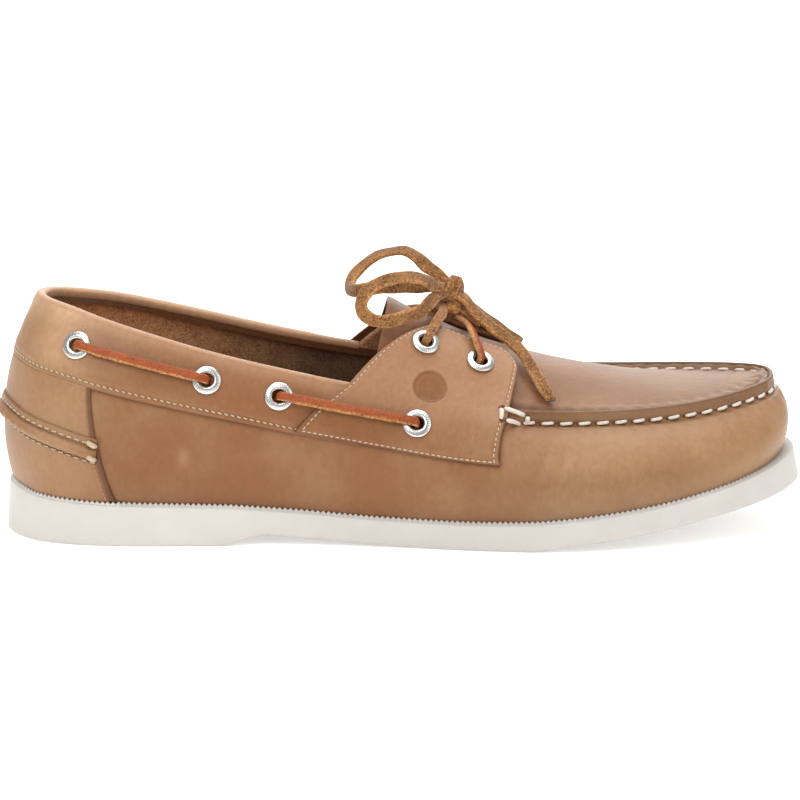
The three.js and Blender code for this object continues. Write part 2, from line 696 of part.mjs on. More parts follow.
function cord(points, steps) {
  const curve = new THREE.CatmullRomCurve3(points.map((p) => BOW.clone().add(vec(...p))));
  const outline = new THREE.Shape();
  const r = LACE_ROUND / 2;
  for (let i = 0; i < 8; i += 1) {
    const a = (i * Math.PI) / 4;
    if (i) outline.lineTo(r * Math.cos(a), r * Math.sin(a));
    else outline.moveTo(r, 0);
  }
  outline.closePath();
  return tidy(new THREE.ExtrudeGeometry(outline, { steps, extrudePath: curve, bevelEnabled: false }));
}

const leatherTan = { color: 0xbd9066, roughness: 0.5, metalness: 0 };
const leatherEdge = { color: 0xb88a60, roughness: 0.55, metalness: 0 };
const rubberWhite = { color: 0xe6e4dd, roughness: 0.6, metalness: 0 };
const suedeBrown = { color: 0x7a5a3c, roughness: 0.9, metalness: 0 };
const nickel = { color: 0xd8d8d6, roughness: 0.25, metalness: 1 };
const rawhide = { color: 0xb6743c, roughness: 0.75, metalness: 0 };

const shoe = new THREE.Group();
const pieces = new THREE.Group();
shoe.add(pieces);
function add(name, geometry, finish) {
  const mesh = new THREE.Mesh(geometry, new THREE.MeshStandardMaterial(finish));
  mesh.name = name;
  pieces.add(mesh);
  return mesh;
}

add('outsole', outsole(), rubberWhite);
add('insole', insole(), suedeBrown);
add('upper', upper(), leatherTan);
add('eyestay_lateral', eyestay(false), leatherEdge);
add('eyestay_medial', eyestay(true), leatherEdge);
add('heel_counter', heelCounter(), leatherTan);
add('heel_strap', heelStrap(), leatherEdge);
add('tongue', tongue(), leatherTan);
places.forEach((row, k) => {
  row.forEach((place, i) => {
    standOn(add(`eyelet_${k ? 'medial' : 'lateral'}_${i + 1}`, eyeletGeometry(), nickel), place);
  });
});
bothSides.forEach((mirrored) => {
  const name = mirrored ? 'medial' : 'lateral';
  add(`lace_${name}_rear`, laceRun(0, 1, mirrored), rawhide);
  add(`lace_${name}_front`, laceRun(2, 3, mirrored), rawhide);
});
add('lace_crossing', laceCrossing(), rawhide);

// The middle of the shoe without its free lace is the origin
const middle = new THREE.Box3().setFromObject(pieces).getCenter(vec(0, 0, 0));
pieces.position.set(-middle.x, -middle.y, 0);

add('lace_knot', ball(KNOT_SIZE, BOW), rawhide);
add('lace_loop_near', cord(LOOP_NEAR, 14), rawhide);
add('lace_loop_far', cord(LOOP_FAR, 14), rawhide);
add('lace_end_near', cord(END_NEAR, 8), rawhide);
add('lace_end_far', cord(END_FAR, 5), rawhide);

export default shoe;
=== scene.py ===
import math
import bmesh
import bpy
import numpy as np
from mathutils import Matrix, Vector


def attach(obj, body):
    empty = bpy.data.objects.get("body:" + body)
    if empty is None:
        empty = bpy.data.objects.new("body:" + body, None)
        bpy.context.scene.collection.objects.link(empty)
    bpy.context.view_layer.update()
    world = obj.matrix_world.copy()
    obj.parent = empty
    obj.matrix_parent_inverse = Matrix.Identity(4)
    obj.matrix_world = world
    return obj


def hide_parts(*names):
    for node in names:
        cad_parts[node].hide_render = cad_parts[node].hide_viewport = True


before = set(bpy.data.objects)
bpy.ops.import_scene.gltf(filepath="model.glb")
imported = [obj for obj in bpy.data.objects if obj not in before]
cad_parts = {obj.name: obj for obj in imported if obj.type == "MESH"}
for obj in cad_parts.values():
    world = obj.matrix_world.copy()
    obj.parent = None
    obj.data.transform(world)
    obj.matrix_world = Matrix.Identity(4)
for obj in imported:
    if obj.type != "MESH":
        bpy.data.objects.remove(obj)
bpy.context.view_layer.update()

scene = bpy.context.scene
scene.view_settings.view_transform = "Standard"

# Camera: a long lens 1.6 m away, square on to the outer side of the shoe and 12 degrees above it,
# as the photo was taken. It aims at the middle of the shoe, half way up.
AIM = Vector((-0.0001, 0.0, 0.047))
ABOVE, TURNED, AWAY = math.radians(12), math.radians(-2), 1.6
camera = bpy.data.objects.new("camera", bpy.data.cameras.new("camera"))
scene.collection.objects.link(camera)
camera.location = AIM + AWAY * Vector(
    (math.sin(TURNED) * math.cos(ABOVE), -math.cos(TURNED) * math.cos(ABOVE), math.sin(ABOVE)))
camera.rotation_euler = (AIM - camera.location).to_track_quat("-Z", "Y").to_euler()
camera.data.lens = 190.4
camera.data.sensor_width = 36
scene.camera = camera

# Bow: two loops and two ends of one rawhide lace that come out of the knot.
# The lace is a flat strip cut from an oiled hide, napped on its flesh side and its cut edges and
# grained on its other face. Its corners are slightly crushed, and it stands on edge round a loop.

# All points are in mm: x from the back of the heel, y from the middle, z from the floor
SHIFT = np.array([-148.7225, -0.5778, 0.0])


def colour(code):
    parts = [int(code[i:i + 2], 16) / 255 for i in (1, 3, 5)]
    return [c / 12.92 if c < 0.04 else ((c + 0.055) / 1.055) ** 2.4 for c in parts] + [1]


def add(tree, kind, inputs=None, **settings):
    # kind is a node's type, or the name of a node that is already there
    node = tree.nodes.get(kind) or tree.nodes.new(kind)
    for key, value in settings.items():
        setattr(node, key, value)
    for key, value in (inputs or {}).items():
        if isinstance(value, bpy.types.NodeSocket):
            tree.links.new(value, node.inputs[key])
        else:
            node.inputs[key].default_value = value
    return node


def new_material(name):
    material = bpy.data.materials.new(name)
    material.use_nodes = True
    return material, material.node_tree


def unit(a):
    return a / np.maximum(np.linalg.norm(a, axis=-1, keepdims=True), 1e-9)


def mix(a, b, t):
    return a + (b - a) * t


def smooth(a, b, t):
    u = np.clip((t - a) / (b - a), 0, 1)
    return u * u * (3 - 2 * u)


def bump(t, middle, width):
    return np.exp(-((t - middle) / width) ** 2)


def grid_faces(rows, cols, closed=False):
    i, j = np.meshgrid(np.arange(rows - 1), np.arange(cols if closed else cols - 1), indexing="ij")
    k = (j + 1) % cols
    return np.stack([i * cols + j, i * cols + k, (i + 1) * cols + k, (i + 1) * cols + j], -1).reshape(-1, 4)


def piece(name, points, faces, material, nodes=(), tone=1.0):
    points = np.asarray(points, float).reshape(-1, 3)
    mesh = bpy.data.meshes.new(name)
    faces = faces if isinstance(faces, list) else faces.tolist()
    mesh.from_pydata(((points + SHIFT) / 1000).tolist(), [], faces)
    values = np.broadcast_to(np.ravel(tone), len(points)).astype(np.float32)
    mesh.attributes.new("tone", "FLOAT", "POINT").data.foreach_set("value", values)
    form = bmesh.new()
    form.from_mesh(mesh)
    bmesh.ops.delete(form, geom=[v for v in form.verts if not v.link_faces], context="VERTS")
    bmesh.ops.recalc_face_normals(form, faces=form.faces)
    form.to_mesh(mesh)
    form.free()
    mesh.polygons.foreach_set("use_smooth", np.ones(len(mesh.polygons), bool))
    mesh.materials.append(material)
    obj = bpy.data.objects.new(name, mesh)
    scene.collection.objects.link(obj)
    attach(obj, "root")
    if nodes:
        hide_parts(*nodes)
    return obj


def run_of(line):
    return np.append(0, np.cumsum(np.linalg.norm(np.diff(line, axis=0), axis=1)))


def read_off(at, run, values):
    return np.stack([np.interp(at, run, values[:, k]) for k in range(3)], -1)


def curve_through(points, step):
    p = np.asarray(points, float)
    q = np.concatenate([[2 * p[0] - p[1]], p, [2 * p[-1] - p[-2]]])
    t = np.linspace(0, 1, 12, endpoint=False)[:, None]
    fine = np.concatenate([
        b + 0.5 * ((c - a) * t + (2 * a - 5 * b + 4 * c - d) * t ** 2 + (3 * b - 3 * c + d - a) * t ** 3)
        for a, b, c, d in zip(q, q[1:], q[2:], q[3:])] + [p[-1:]])
    run = run_of(fine)
    return read_off(np.linspace(0, run[-1], max(2, int(round(run[-1] / step)) + 1)), run, fine)


# Nap: fibres 0.1 mm thick in tufts of about 6 mm. Single fibres would not show, so they are drawn
# as specks of 0.77 mm. "tone" is the shade that each piece gives its own points.
def napped(tree, dark, light, depth):
    place = add(tree, "ShaderNodeTexCoord").outputs["Object"]
    tone = add(tree, "ShaderNodeAttribute", attribute_name="tone").outputs["Fac"]
    fibre = add(tree, "ShaderNodeTexNoise",
                {"Vector": place, "Scale": 1000 / 0.77, "Detail": 4.0, "Roughness": 0.7})
    tuft = add(tree, "ShaderNodeTexNoise",
               {"Vector": place, "Scale": 1000 / 6.25, "Detail": 5.0, "Roughness": 0.6})
    calm = add(tree, "ShaderNodeMath", {0: tuft.outputs["Fac"], 1: 0.4, 2: 0.3}, operation="MULTIPLY_ADD")
    share = add(tree, "ShaderNodeMath", {0: fibre.outputs["Fac"], 1: calm.outputs[0]}, operation="ADD")
    ramp = add(tree, "ShaderNodeMapRange", {"Value": share.outputs[0], "From Min": 0.84, "From Max": 1.16})
    mixed = add(tree, "ShaderNodeMix", {0: ramp.outputs[0], 6: colour(dark), 7: colour(light)},
                data_type="RGBA")
    shaded = add(tree, "ShaderNodeVectorMath", {0: mixed.outputs[2], 1: tone}, operation="MULTIPLY")
    relief = add(tree, "ShaderNodeBump", {"Strength": 0.8, "Distance": depth, "Height": share.outputs[0]})
    return shaded.outputs[0], relief.outputs[0]


# Rawhide, oil-tanned and split: golden-brown nap that scatters the light and hides any gloss
rawhide, tree = new_material("rawhide_oil_tanned_split")
base, relief = napped(tree, "#56301A", "#B6834E", 0.0005)
add(tree, "Principled BSDF", {"Base Color": base, "Normal": relief, "Roughness": 0.85,
                              "Sheen Weight": 0.25, "Sheen Roughness": 0.4, "Specular IOR Level": 0.25})

# The same hide's grain face, burnished: red-orange, smoother, with a low gloss
rawhide_face, tree = new_material("rawhide_grain_burnished")
base, relief = napped(tree, "#79330F", "#9D5021", 0.0001)
add(tree, "Principled BSDF", {"Base Color": base, "Normal": relief, "Roughness": 0.5,
                              "Specular IOR Level": 0.25})


def ribbon(name, line, looks, wide, thick, nodes=(), shares=None, cup=0.0, face=None, side=1, nap=0.84):
    # A strip along line, its broad face turned to looks. Its cut edges are paler than its nap.
    line = np.asarray(line, float)
    n, corners = len(line), 20
    ahead = unit(np.gradient(line, axis=0))
    across = unit(np.cross(ahead, np.asarray(looks, float)))
    face_way = unit(np.cross(across, ahead))
    turn = np.linspace(0, 2 * math.pi, corners, endpoint=False)
    x = np.sign(np.cos(turn)) * np.abs(np.cos(turn)) ** 0.55
    y = np.sign(np.sin(turn)) * np.abs(np.sin(turn)) ** 0.6
    hand_cut = 1 + 0.05 * np.sin(np.arange(n) * 0.37 + len(name))
    half = ((np.ones(n) if shares is None else shares) * wide / 2 * hand_cut)[:, None, None]
    rise = (y[None] * thick / 2 + cup * (x[None] ** 2))[..., None]
    points = line[:, None] + across[:, None] * x[None, :, None] * half + face_way[:, None] * rise
    ends = [list(range(corners))[::-1], [(n - 1) * corners + k for k in range(corners)]]
    tone = mix(nap, 1.45, smooth(0.62, 0.95, np.abs(x)))[None] * np.ones((n, 1))
    obj = piece(name, points, grid_faces(n, corners, closed=True).tolist() + ends, rawhide,
                nodes, tone)
    if face:
        obj.data.materials.append(face)
        middle = np.array([p.center[:] for p in obj.data.polygons]) * 1000 - SHIFT
        nearest = np.array([np.argmin(((line - m) ** 2).sum(1)) for m in middle])
        level = ((middle - line[nearest]) * face_way[nearest]).sum(1)
        obj.data.polygons.foreach_set("material_index", (level * side > thick * 0.36).astype(np.int32))
    return obj


LOOP_NEAR = [
    [167.0, -1.0, 90.2], [161.9, -5.6, 91.6], [159.1, -9.0, 93.8], [155.1, -13.0, 96.2], [148.7, -17.0, 97.4],
    [142.6, -20.5, 96.7], [137.7, -23.0, 95.0], [134.3, -24.5, 91.5], [133.4, -25.0, 87.9],
    [134.7, -25.2, 84.8], [138.4, -24.6, 82.6], [144.0, -23.0, 82.0], [150.1, -19.8, 83.2],
    [155.5, -15.4, 84.0], [159.1, -11.2, 86.4], [161.7, -7.0, 88.0], [166.4, -2.0, 89.4]]
LOOP_FAR = [
    [167.0, 1.0, 91.0], [162.7, 2.4, 95.2], [158.8, 4.0, 97.6], [155.1, 6.0, 100.8], [150.6, 9.0, 102.7],
    [145.6, 11.0, 102.0], [140.3, 12.0, 100.3], [135.0, 12.0, 96.5], [131.2, 10.0, 92.7],
    [130.1, 6.0, 89.9], [130.9, 0.6, 89.4], [133.5, -3.6, 90.0], [138.2, -6.0, 91.2], [142.5, -6.6, 91.9],
    [147.5, -5.6, 91.8], [153.0, -3.4, 91.4], [160.1, -1.2, 91.0], [166.6, 0.0, 90.4]]
END_NEAR = [
    [168.5, -1.2, 88.6], [173.1, -3.9, 86.0], [176.9, -5.5, 81.4], [182.4, -7.4, 76.6], [188.2, -8.4, 72.4],
    [193.8, -11.8, 67.6], [198.9, -21.0, 60.2], [203.7, -30.0, 53.0]]
END_FAR = [
    [168.0, 0.6, 89.4], [173.5, 3.9, 85.4], [175.9, 4.6, 82.2], [180.1, 6.0, 78.4], [185.2, 7.6, 74.4],
    [190.2, 8.4, 70.4], [194.9, 8.4, 67.4]]
BOW_THICK = 2.3
for node, points, far_end, look, wide in (
        ("lace_loop_near", LOOP_NEAR, "object", [0.1, -1.1, 0.5], 4.9),
        ("lace_loop_far", LOOP_FAR, "object", [0.1, -0.9, 0.5], 5.2),
        ("lace_end_near", END_NEAR, "bare", [0.5, -0.85, 0.5], 4.7),
        ("lace_end_far", END_FAR, "bare", [0.5, -0.5, 0.8], 4.2)):
    line = curve_through(points, 0.6)
    t = np.linspace(0, 1, len(line))
    if far_end == "object":
        # a loop's face turns from the knot's to looking out of the loop, and the knot pinches it
        looks = unit(line - line.mean(0)) * (smooth(0.05, 0.3, t) * smooth(0.05, 0.3, 1 - t))[:, None]
        looks = unit(looks * 0.75 + np.array(look) * 0.95)
        shares = mix(0.75, 1.0, smooth(0, 0.12, t) * smooth(0, 0.12, 1 - t))
    else:
        # an end twists as it falls, and its tip is cut narrower
        looks = np.array(look) + np.stack([0.25 * np.sin(5 * t), 0.2 * np.cos(4 * t), 0 * t], -1)
        shares = mix(0.7, 1.0, smooth(0, 0.2, t)) * mix(1, 0.8, smooth(0.93, 1, t))
    obj = ribbon(f"{node}_strip", line, looks, wide, BOW_THICK, [node], shares, cup=0.12,
                 face=rawhide_face if far_end == "object" else None, side=-1)

# Knot: the strip wrapped one and a half times round itself and pulled flat, with a fold of it that
# crosses the front. A lumpy heart of squeezed lace fills the middle, seen only between the turns.
KNOT = np.array([167.5, 0.0, 89.8])
turn = np.linspace(0, 1, 90)
wrap = np.stack([0.4 + 3.9 * np.cos(turn * 9.6 - 0.6),
                 1.2 * np.sin(turn * 3.1) - 3.3 * np.sin(turn * 9.6 - 0.6),
                 1.2 + 0.4 * np.sin(turn * 6) + mix(-2.0, 1.6, turn)], -1)
ribbon("lace_knot_wrap", KNOT + wrap * [1, 0.95, 1], wrap * [1, 1, 0.5], 4.2, 1.9, ["lace_knot"])
arch = np.linspace(-1.15, 1.15, 46)
fold = np.stack([1.6 * arch + 0.5, -4.4 * np.cos(arch) + 0.8, 4.83 * np.sin(arch)], -1)
ribbon("lace_knot_fold", KNOT + fold, fold * [0.3, 1, 1], 5.0, 1.9, cup=-0.1)
ball = bmesh.new()
bmesh.ops.create_uvsphere(ball, u_segments=24, v_segments=16, radius=1)
heart = np.array([v.co[:] for v in ball.verts])
heart_faces = [[v.index for v in f.verts] for f in ball.faces]
ball.free()
lumps = 1 + 0.08 * np.sin(heart[:, :1] * 5) + 0.07 * np.sin(heart[:, 2:] * 7 + 1)
piece("lace_knot_heart", KNOT + heart * lumps * [5.0, 4.4, 4.2], heart_faces, rawhide, (), 0.8)

# Vamp and quarters: one wall of oiled leather drawn over the last and down to the sole, its foot
# tucked under. In front it turns up into the moccasin seam, where each stitch pulls the edge in and
# lets it bulge between, and behind it ends under the collar band, with holes for the eyelets.

# The last that the leather is drawn over: 26 sections round the shoe, from the heel along its outer
# side and back along its inner side. A row gives the sole's edge, the width of its ledge, the
# wall's rim, how far the wall bulges low and high, and how high the instep crowns between the sides.
LENGTH, BALL_WIDTH, BACK_HEIGHT, INSTEP_RISE = 301, 106, 90, 26
SOLE_HEEL, SOLE_LEDGE, WALL, COLLAR, SEAM, CLEAR = 15, 2.5, 2.2, 3.2, 4.5, 0.3
COLUMNS = ["soleX", "soleY", "ledge", "rimX", "rimY", "rimZ", "low", "high", "crown"]
SECTIONS = np.array([
    [0.000, 0.000, 1.5, 0.048, 0.000, 0.994, 0.140, 0.205, 1.00],
    [0.014, -0.300, 1.6, 0.058, -0.200, 0.990, 0.130, 0.200, 1.00],
    [0.055, -0.545, 1.4, 0.088, -0.360, 0.970, 0.120, 0.225, 1.00],
    [0.130, -0.670, 1.2, 0.147, -0.490, 0.908, 0.110, 0.210, 1.00],
    [0.245, -0.700, 1.0, 0.249, -0.565, 0.806, 0.100, 0.170, 1.00],
    [0.360, -0.700, 1.0, 0.353, -0.605, 0.722, 0.100, 0.170, 1.00],
    [0.480, -0.785, 1.0, 0.465, -0.630, 0.648, 0.100, 0.200, 1.00],
    [0.595, -0.920, 1.0, 0.578, -0.660, 0.572, 0.100, 0.230, 0.70],
    [0.700, -0.985, 1.0, 0.674, -0.665, 0.549, 0.100, 0.220, 0.41],
    [0.800, -0.930, 1.0, 0.767, -0.610, 0.547, 0.100, 0.220, 0.21],
    [0.885, -0.775, 1.2, 0.847, -0.490, 0.558, 0.100, 0.220, 0.08],
    [0.948, -0.530, 1.8, 0.910, -0.300, 0.579, 0.100, 0.200, 0.01],
    [0.987, -0.210, 2.4, 0.955, -0.060, 0.600, 0.085, 0.155, 0.00],
    [1.000, 0.150, 2.8, 0.966, 0.170, 0.614, 0.080, 0.140, 0.00],
    [0.988, 0.480, 2.4, 0.956, 0.385, 0.614, 0.085, 0.155, 0.00],
    [0.948, 0.745, 1.8, 0.916, 0.545, 0.607, 0.100, 0.200, 0.01],
    [0.885, 0.915, 1.4, 0.854, 0.640, 0.600, 0.100, 0.200, 0.08],
    [0.800, 1.000, 1.2, 0.772, 0.680, 0.595, 0.100, 0.200, 0.21],
    [0.710, 0.985, 1.0, 0.682, 0.680, 0.600, 0.090, 0.190, 0.41],
    [0.610, 0.840, 1.0, 0.588, 0.660, 0.620, 0.080, 0.180, 0.70],
    [0.490, 0.650, 1.0, 0.475, 0.615, 0.685, 0.080, 0.150, 1.00],
    [0.360, 0.590, 1.0, 0.355, 0.570, 0.762, 0.080, 0.140, 1.00],
    [0.245, 0.640, 1.0, 0.249, 0.535, 0.848, 0.100, 0.160, 1.00],
    [0.130, 0.660, 1.2, 0.147, 0.475, 0.930, 0.110, 0.200, 1.00],
    [0.055, 0.545, 1.4, 0.088, 0.350, 0.968, 0.120, 0.225, 1.00],
    [0.014, 0.300, 1.6, 0.058, 0.195, 0.990, 0.130, 0.200, 1.00],
])
# Along the shoe: share of its length, and the sole's top and underside in heights of the heel's sole
PROFILE = np.array([
    [0.00, 1.27, 0.00], [0.04, 1.12, 0.00], [0.13, 1.01, 0.00], [0.27, 0.95, 0.00], [0.32, 0.88, 0.25],
    [0.36, 0.82, 0.20], [0.48, 0.66, 0.03], [0.56, 0.63, 0.00], [0.64, 0.66, 0.00], [0.70, 0.76, 0.13],
    [0.80, 1.03, 0.42], [0.885, 1.36, 0.73], [0.95, 1.66, 0.94], [1.00, 1.87, 1.07]])
# Places on the last: s counts sections round the shoe, v goes up the wall from 0 to 1 at the rim and
# from there to 2 at the middle of the instep
ROUND, TOE = 26, 13
SEAM_START, SEAM_FULL, SEAM_FOOT = 7.3, 7.8, 0.88
BAND_BACK, BAND_FALL, BAND_CURVE, BAND_END, BAND_FADE, BAND_STEP = 0.6, 0.095, 1.35, 5.05, 0.5, 1.5
OVER_GAP, OVERLAY = 0.4, 1.5
STAY = dict(rear_foot=5.05, rear_top=6.55, front_foot=7.28, front_top=7.55, rear_v=0.535, front_v=0.475,
            top_v=1.66, corner_v=1.41, corner_round=0.25)
UPWARD = np.array([0.0, 0.0, 1.0])


def around(column, s):
    c = COLUMNS.index(column)
    t = np.mod(s, ROUND)
    i = np.floor(t).astype(int)
    f = t - i
    a, b, d, e = (SECTIONS[(i + k) % ROUND, c] for k in (-1, 0, 1, 2))
    return b + ((3 * b - 3 * d + e - a) * f ** 3 + (2 * a - 5 * b + 4 * d - e) * f ** 2 + (d - a) * f) / 2


def profile(column, x):
    xs, ys = PROFILE[:, 0], PROFILE[:, column]
    steps = np.diff(xs)
    slope = np.diff(ys) / steps
    before, after = np.append(0, slope), np.append(slope, 0)
    both = np.where(before * after <= 0, 1, before + after)
    knot = np.where(before * after <= 0, 0, 2 * before * after / both)
    t = np.clip(np.asarray(x) / LENGTH, 0, 1)
    i = np.clip(np.searchsorted(xs, t, side="right") - 1, 0, len(xs) - 2)
    h = steps[i]
    f = (t - xs[i]) / h
    start = (2 * f ** 3 - 3 * f ** 2 + 1) * ys[i] + (f ** 3 - 2 * f ** 2 + f) * h * knot[i]
    end = (3 * f ** 2 - 2 * f ** 3) * ys[i + 1] + (f ** 3 - f ** 2) * h * knot[i + 1]
    return (start + end) * SOLE_HEEL


def side_of(s):
    t = np.mod(s, ROUND)
    return np.minimum(t, ROUND - t)


def sole_edge(s):
    return np.stack([around("soleX", s) * LENGTH, around("soleY", s) * BALL_WIDTH / 2, 0 * s], -1)


def outward(s):
    step = sole_edge(s + 0.001) - sole_edge(s - 0.001)
    return unit(np.stack([step[..., 1], -step[..., 0], 0 * s], -1))


def feather(s):
    p = sole_edge(s) - outward(s) * (around("ledge", s) * SOLE_LEDGE)[..., None]
    p[..., 2] = profile(1, p[..., 0]) + CLEAR
    return p


def rim(s):
    return np.stack([around("rimX", s) * LENGTH, around("rimY", s) * BALL_WIDTH / 2,
                     around("rimZ", s) * BACK_HEIGHT], -1)


def height(s):
    return rim(s)[..., 2] - feather(s)[..., 2]


def wall(s, v):
    s, v = np.broadcast_arrays(np.asarray(s, float), np.asarray(v, float))
    foot, top, out = feather(s), rim(s), outward(s)
    tall = (top - foot)[..., 2:3] * UPWARD
    belly = (around("high", s) * BALL_WIDTH / 2)[..., None] * out
    behind = belly - 0.3 * tall
    front = smooth(SEAM_START, SEAM_FULL, side_of(s))[..., None]
    neck = top + behind * (1 - front) / 3 - UPWARD * SEAM * front
    a = foot + out * (around("low", s) * BALL_WIDTH / 2)[..., None] + 0.36 * tall
    b = mix(top + behind, neck + 0.9 * belly, front) - 0.1 * tall * front
    t = np.minimum(v / SEAM_FOOT, 1)[..., None]
    body = foot * (1 - t) ** 3 + 3 * a * t * (1 - t) ** 2 + 3 * b * t ** 2 * (1 - t) + neck * t ** 3
    edge = neck + (top - neck) * ((v - SEAM_FOOT) / (1 - SEAM_FOOT))[..., None]
    return np.where((v > SEAM_FOOT)[..., None], edge, body)


def instep(s, w, drop=0.0):
    s, w = np.broadcast_arrays(np.asarray(s, float), np.asarray(w, float))
    p = mix(rim(s), rim(ROUND - s), (w / 2)[..., None])
    arch = 1 - (1 - w) ** 2.1
    p[..., 2] += around("crown", side_of(s)) * INSTEP_RISE * arch - drop * (1 - arch)
    return p


def skin(s, v):
    over = instep(s, np.clip(v - 1, 0, 1))
    return np.where((np.asarray(v) > 1)[..., None], over, wall(s, np.clip(v, 0, 1)))


def on_skin(s, v, offset):
    s, v, offset = np.broadcast_arrays(np.asarray(s, float), np.asarray(v, float), np.asarray(offset, float))
    e = 0.004
    high = v > 1
    low_v, top_v = np.where(high, 1.0001, 0), np.where(high, 2, 1)
    ds = skin(s + e, v) - skin(s - e, v)
    dv = skin(s, np.minimum(top_v, v + e)) - skin(s, np.maximum(low_v, v - e))
    return skin(s, v) + unit(np.cross(ds, dv)) * offset[..., None]


def facing(s, v):
    return on_skin(s, v, 1.0) - on_skin(s, v, 0.0)


def band_edge(s):
    return BAND_BACK - BAND_FALL * np.minimum(1.2, side_of(s) / BAND_END) ** BAND_CURVE


def band_step(s):
    return BAND_STEP * (1 - smooth(BAND_END, BAND_END + BAND_FADE, side_of(s)))


def lift(v):
    return (WALL + OVER_GAP) * smooth(1, 1.5, v)


def stay_rear(v):
    return mix(STAY["rear_foot"], STAY["rear_top"], (v - STAY["rear_v"]) / (STAY["top_v"] - STAY["rear_v"]))


def stay_front(v):
    foot = np.clip((STAY["corner_v"] - v) / (STAY["corner_v"] - STAY["rear_v"]), 0, 1)
    corner = np.clip((v - STAY["corner_v"]) / (STAY["top_v"] - STAY["corner_v"]), 0, 1)
    return (STAY["front_top"] - (STAY["front_top"] - STAY["front_foot"]) * foot ** 1.5
            - STAY["corner_round"] * corner ** 2)


# Oiled full-grain leather, drum-dyed and waxed: warm tan with a soft gloss, lighter where it is drawn tight
# over heel and toe, darker at its cut edges. A tone below 1 darkens it, for cut edges and for painted shade;
# one above 1 pales it, for scuffs and for painted highlights.
# Its pores, 0.2 mm apart, would not show, so they are drawn 0.67 mm apart and the grain 0.45 mm.
leather, tree = new_material("leather_oiled_full_grain")
place = add(tree, "ShaderNodeTexCoord").outputs["Object"]
tone = add(tree, "ShaderNodeAttribute", attribute_name="tone").outputs["Fac"]
cloud = add(tree, "ShaderNodeTexNoise",
            {"Vector": place, "Scale": 1000 / 45.5, "Detail": 5.0, "Roughness": 0.55})
drawn = add(tree, "ShaderNodeVectorMath", {0: place, 1: (1.2, 1.2, 0.7)}, operation="MULTIPLY")
mottle = add(tree, "ShaderNodeTexNoise",
             {"Vector": drawn.outputs[0], "Scale": 1000 / 2.38, "Detail": 5.0, "Roughness": 0.6})
pores = add(tree, "ShaderNodeTexVoronoi", {"Vector": place, "Scale": 1000 / 0.667})
grain = add(tree, "ShaderNodeTexNoise",
            {"Vector": place, "Scale": 1000 / 0.455, "Detail": 3.0, "Roughness": 0.7})
axes = add(tree, "ShaderNodeSeparateXYZ", {0: place})
heel_light = add(tree, "ShaderNodeMapRange", {
    "Value": axes.outputs[0], "From Min": -0.104, "From Max": -0.124, "To Min": 0.0, "To Max": 0.75},
    interpolation_type="SMOOTHSTEP")
toe_light = add(tree, "ShaderNodeMapRange", {
    "Value": axes.outputs[0], "From Min": 0.025, "From Max": 0.075, "To Min": 0.0, "To Max": 0.7},
    interpolation_type="SMOOTHSTEP")
pulled = add(tree, "ShaderNodeMath", {0: heel_light.outputs[0], 1: toe_light.outputs[0]}, operation="ADD")
drift = add(tree, "ShaderNodeMapRange", {
    "Value": cloud.outputs["Fac"], "From Min": 0.3, "From Max": 0.7, "To Min": -0.35, "To Max": 0.6},
    clamp=False)
share = add(tree, "ShaderNodeMath", {0: pulled.outputs[0], 1: drift.outputs[0]}, operation="ADD",
            use_clamp=True)
body = add(tree, "ShaderNodeMix", {0: share.outputs[0], 6: colour("#83522A"), 7: colour("#9A744F")},
           data_type="RGBA")
speck = add(tree, "ShaderNodeMapRange", {
    "Value": mottle.outputs["Fac"], "From Min": 0.35, "From Max": 0.7, "To Min": 0.9, "To Max": 1.07})
pit = add(tree, "ShaderNodeMapRange", {
    "Value": pores.outputs["Distance"], "From Min": 0.0, "From Max": 0.35, "To Min": 0.9, "To Max": 1.0})
shade = add(tree, "ShaderNodeMath", {0: speck.outputs[0], 1: pit.outputs[0]}, operation="MULTIPLY")
# tones below 1 darken for cut edges and painted shade; tones above 1 pale towards a paler tan for scuffs and
# painted highlights
shade_and_cut_darkening = add(tree, "ShaderNodeMath", {0: tone, 1: 1.0}, operation="MINIMUM")
highlight_and_scuff_paling = add(tree, "ShaderNodeMapRange", {"Value": tone, "From Min": 1.0, "From Max": 3.0})
paled = add(tree, "ShaderNodeMix", {0: highlight_and_scuff_paling.outputs[0], 6: body.outputs[2], 7: colour("#CFA683")},
            data_type="RGBA")
depth = add(tree, "ShaderNodeMath", {0: shade.outputs[0], 1: shade_and_cut_darkening.outputs[0]}, operation="MULTIPLY")
# darkening, at cut edges and in painted shade alike, takes blue most and red least, so it turns warmer, as
# oiled leather does
warm = add(tree, "ShaderNodeCombineColor", {
    0: add(tree, "ShaderNodeMath", {0: depth.outputs[0], 1: 0.85}, operation="POWER").outputs[0],
    1: depth.outputs[0],
    2: add(tree, "ShaderNodeMath", {0: depth.outputs[0], 1: 1.15}, operation="POWER").outputs[0]})
tinted = add(tree, "ShaderNodeMix", {0: 1.0, 6: paled.outputs[2], 7: warm.outputs[0]}, data_type="RGBA",
             blend_type="MULTIPLY")
fine = add(tree, "ShaderNodeBump", {"Strength": 0.35, "Distance": 0.00008, "Height": grain.outputs["Fac"]})
deep = add(tree, "ShaderNodeBump", {"Strength": 0.4, "Distance": 0.0001, "Height": pores.outputs["Distance"],
                                    "Normal": fine.outputs[0]})
soft = add(tree, "ShaderNodeBump", {"Strength": 0.45, "Distance": 0.0006, "Height": mottle.outputs["Fac"],
                                    "Normal": deep.outputs[0]})
gloss = add(tree, "ShaderNodeMapRange", {
    "Value": mottle.outputs["Fac"], "From Min": 0.3, "From Max": 0.7, "To Min": 0.38, "To Max": 0.5})
add(tree, "Principled BSDF", {"Base Color": tinted.outputs[2], "Normal": soft.outputs[0],
                              "Roughness": gloss.outputs[0], "Specular IOR Level": 0.42})

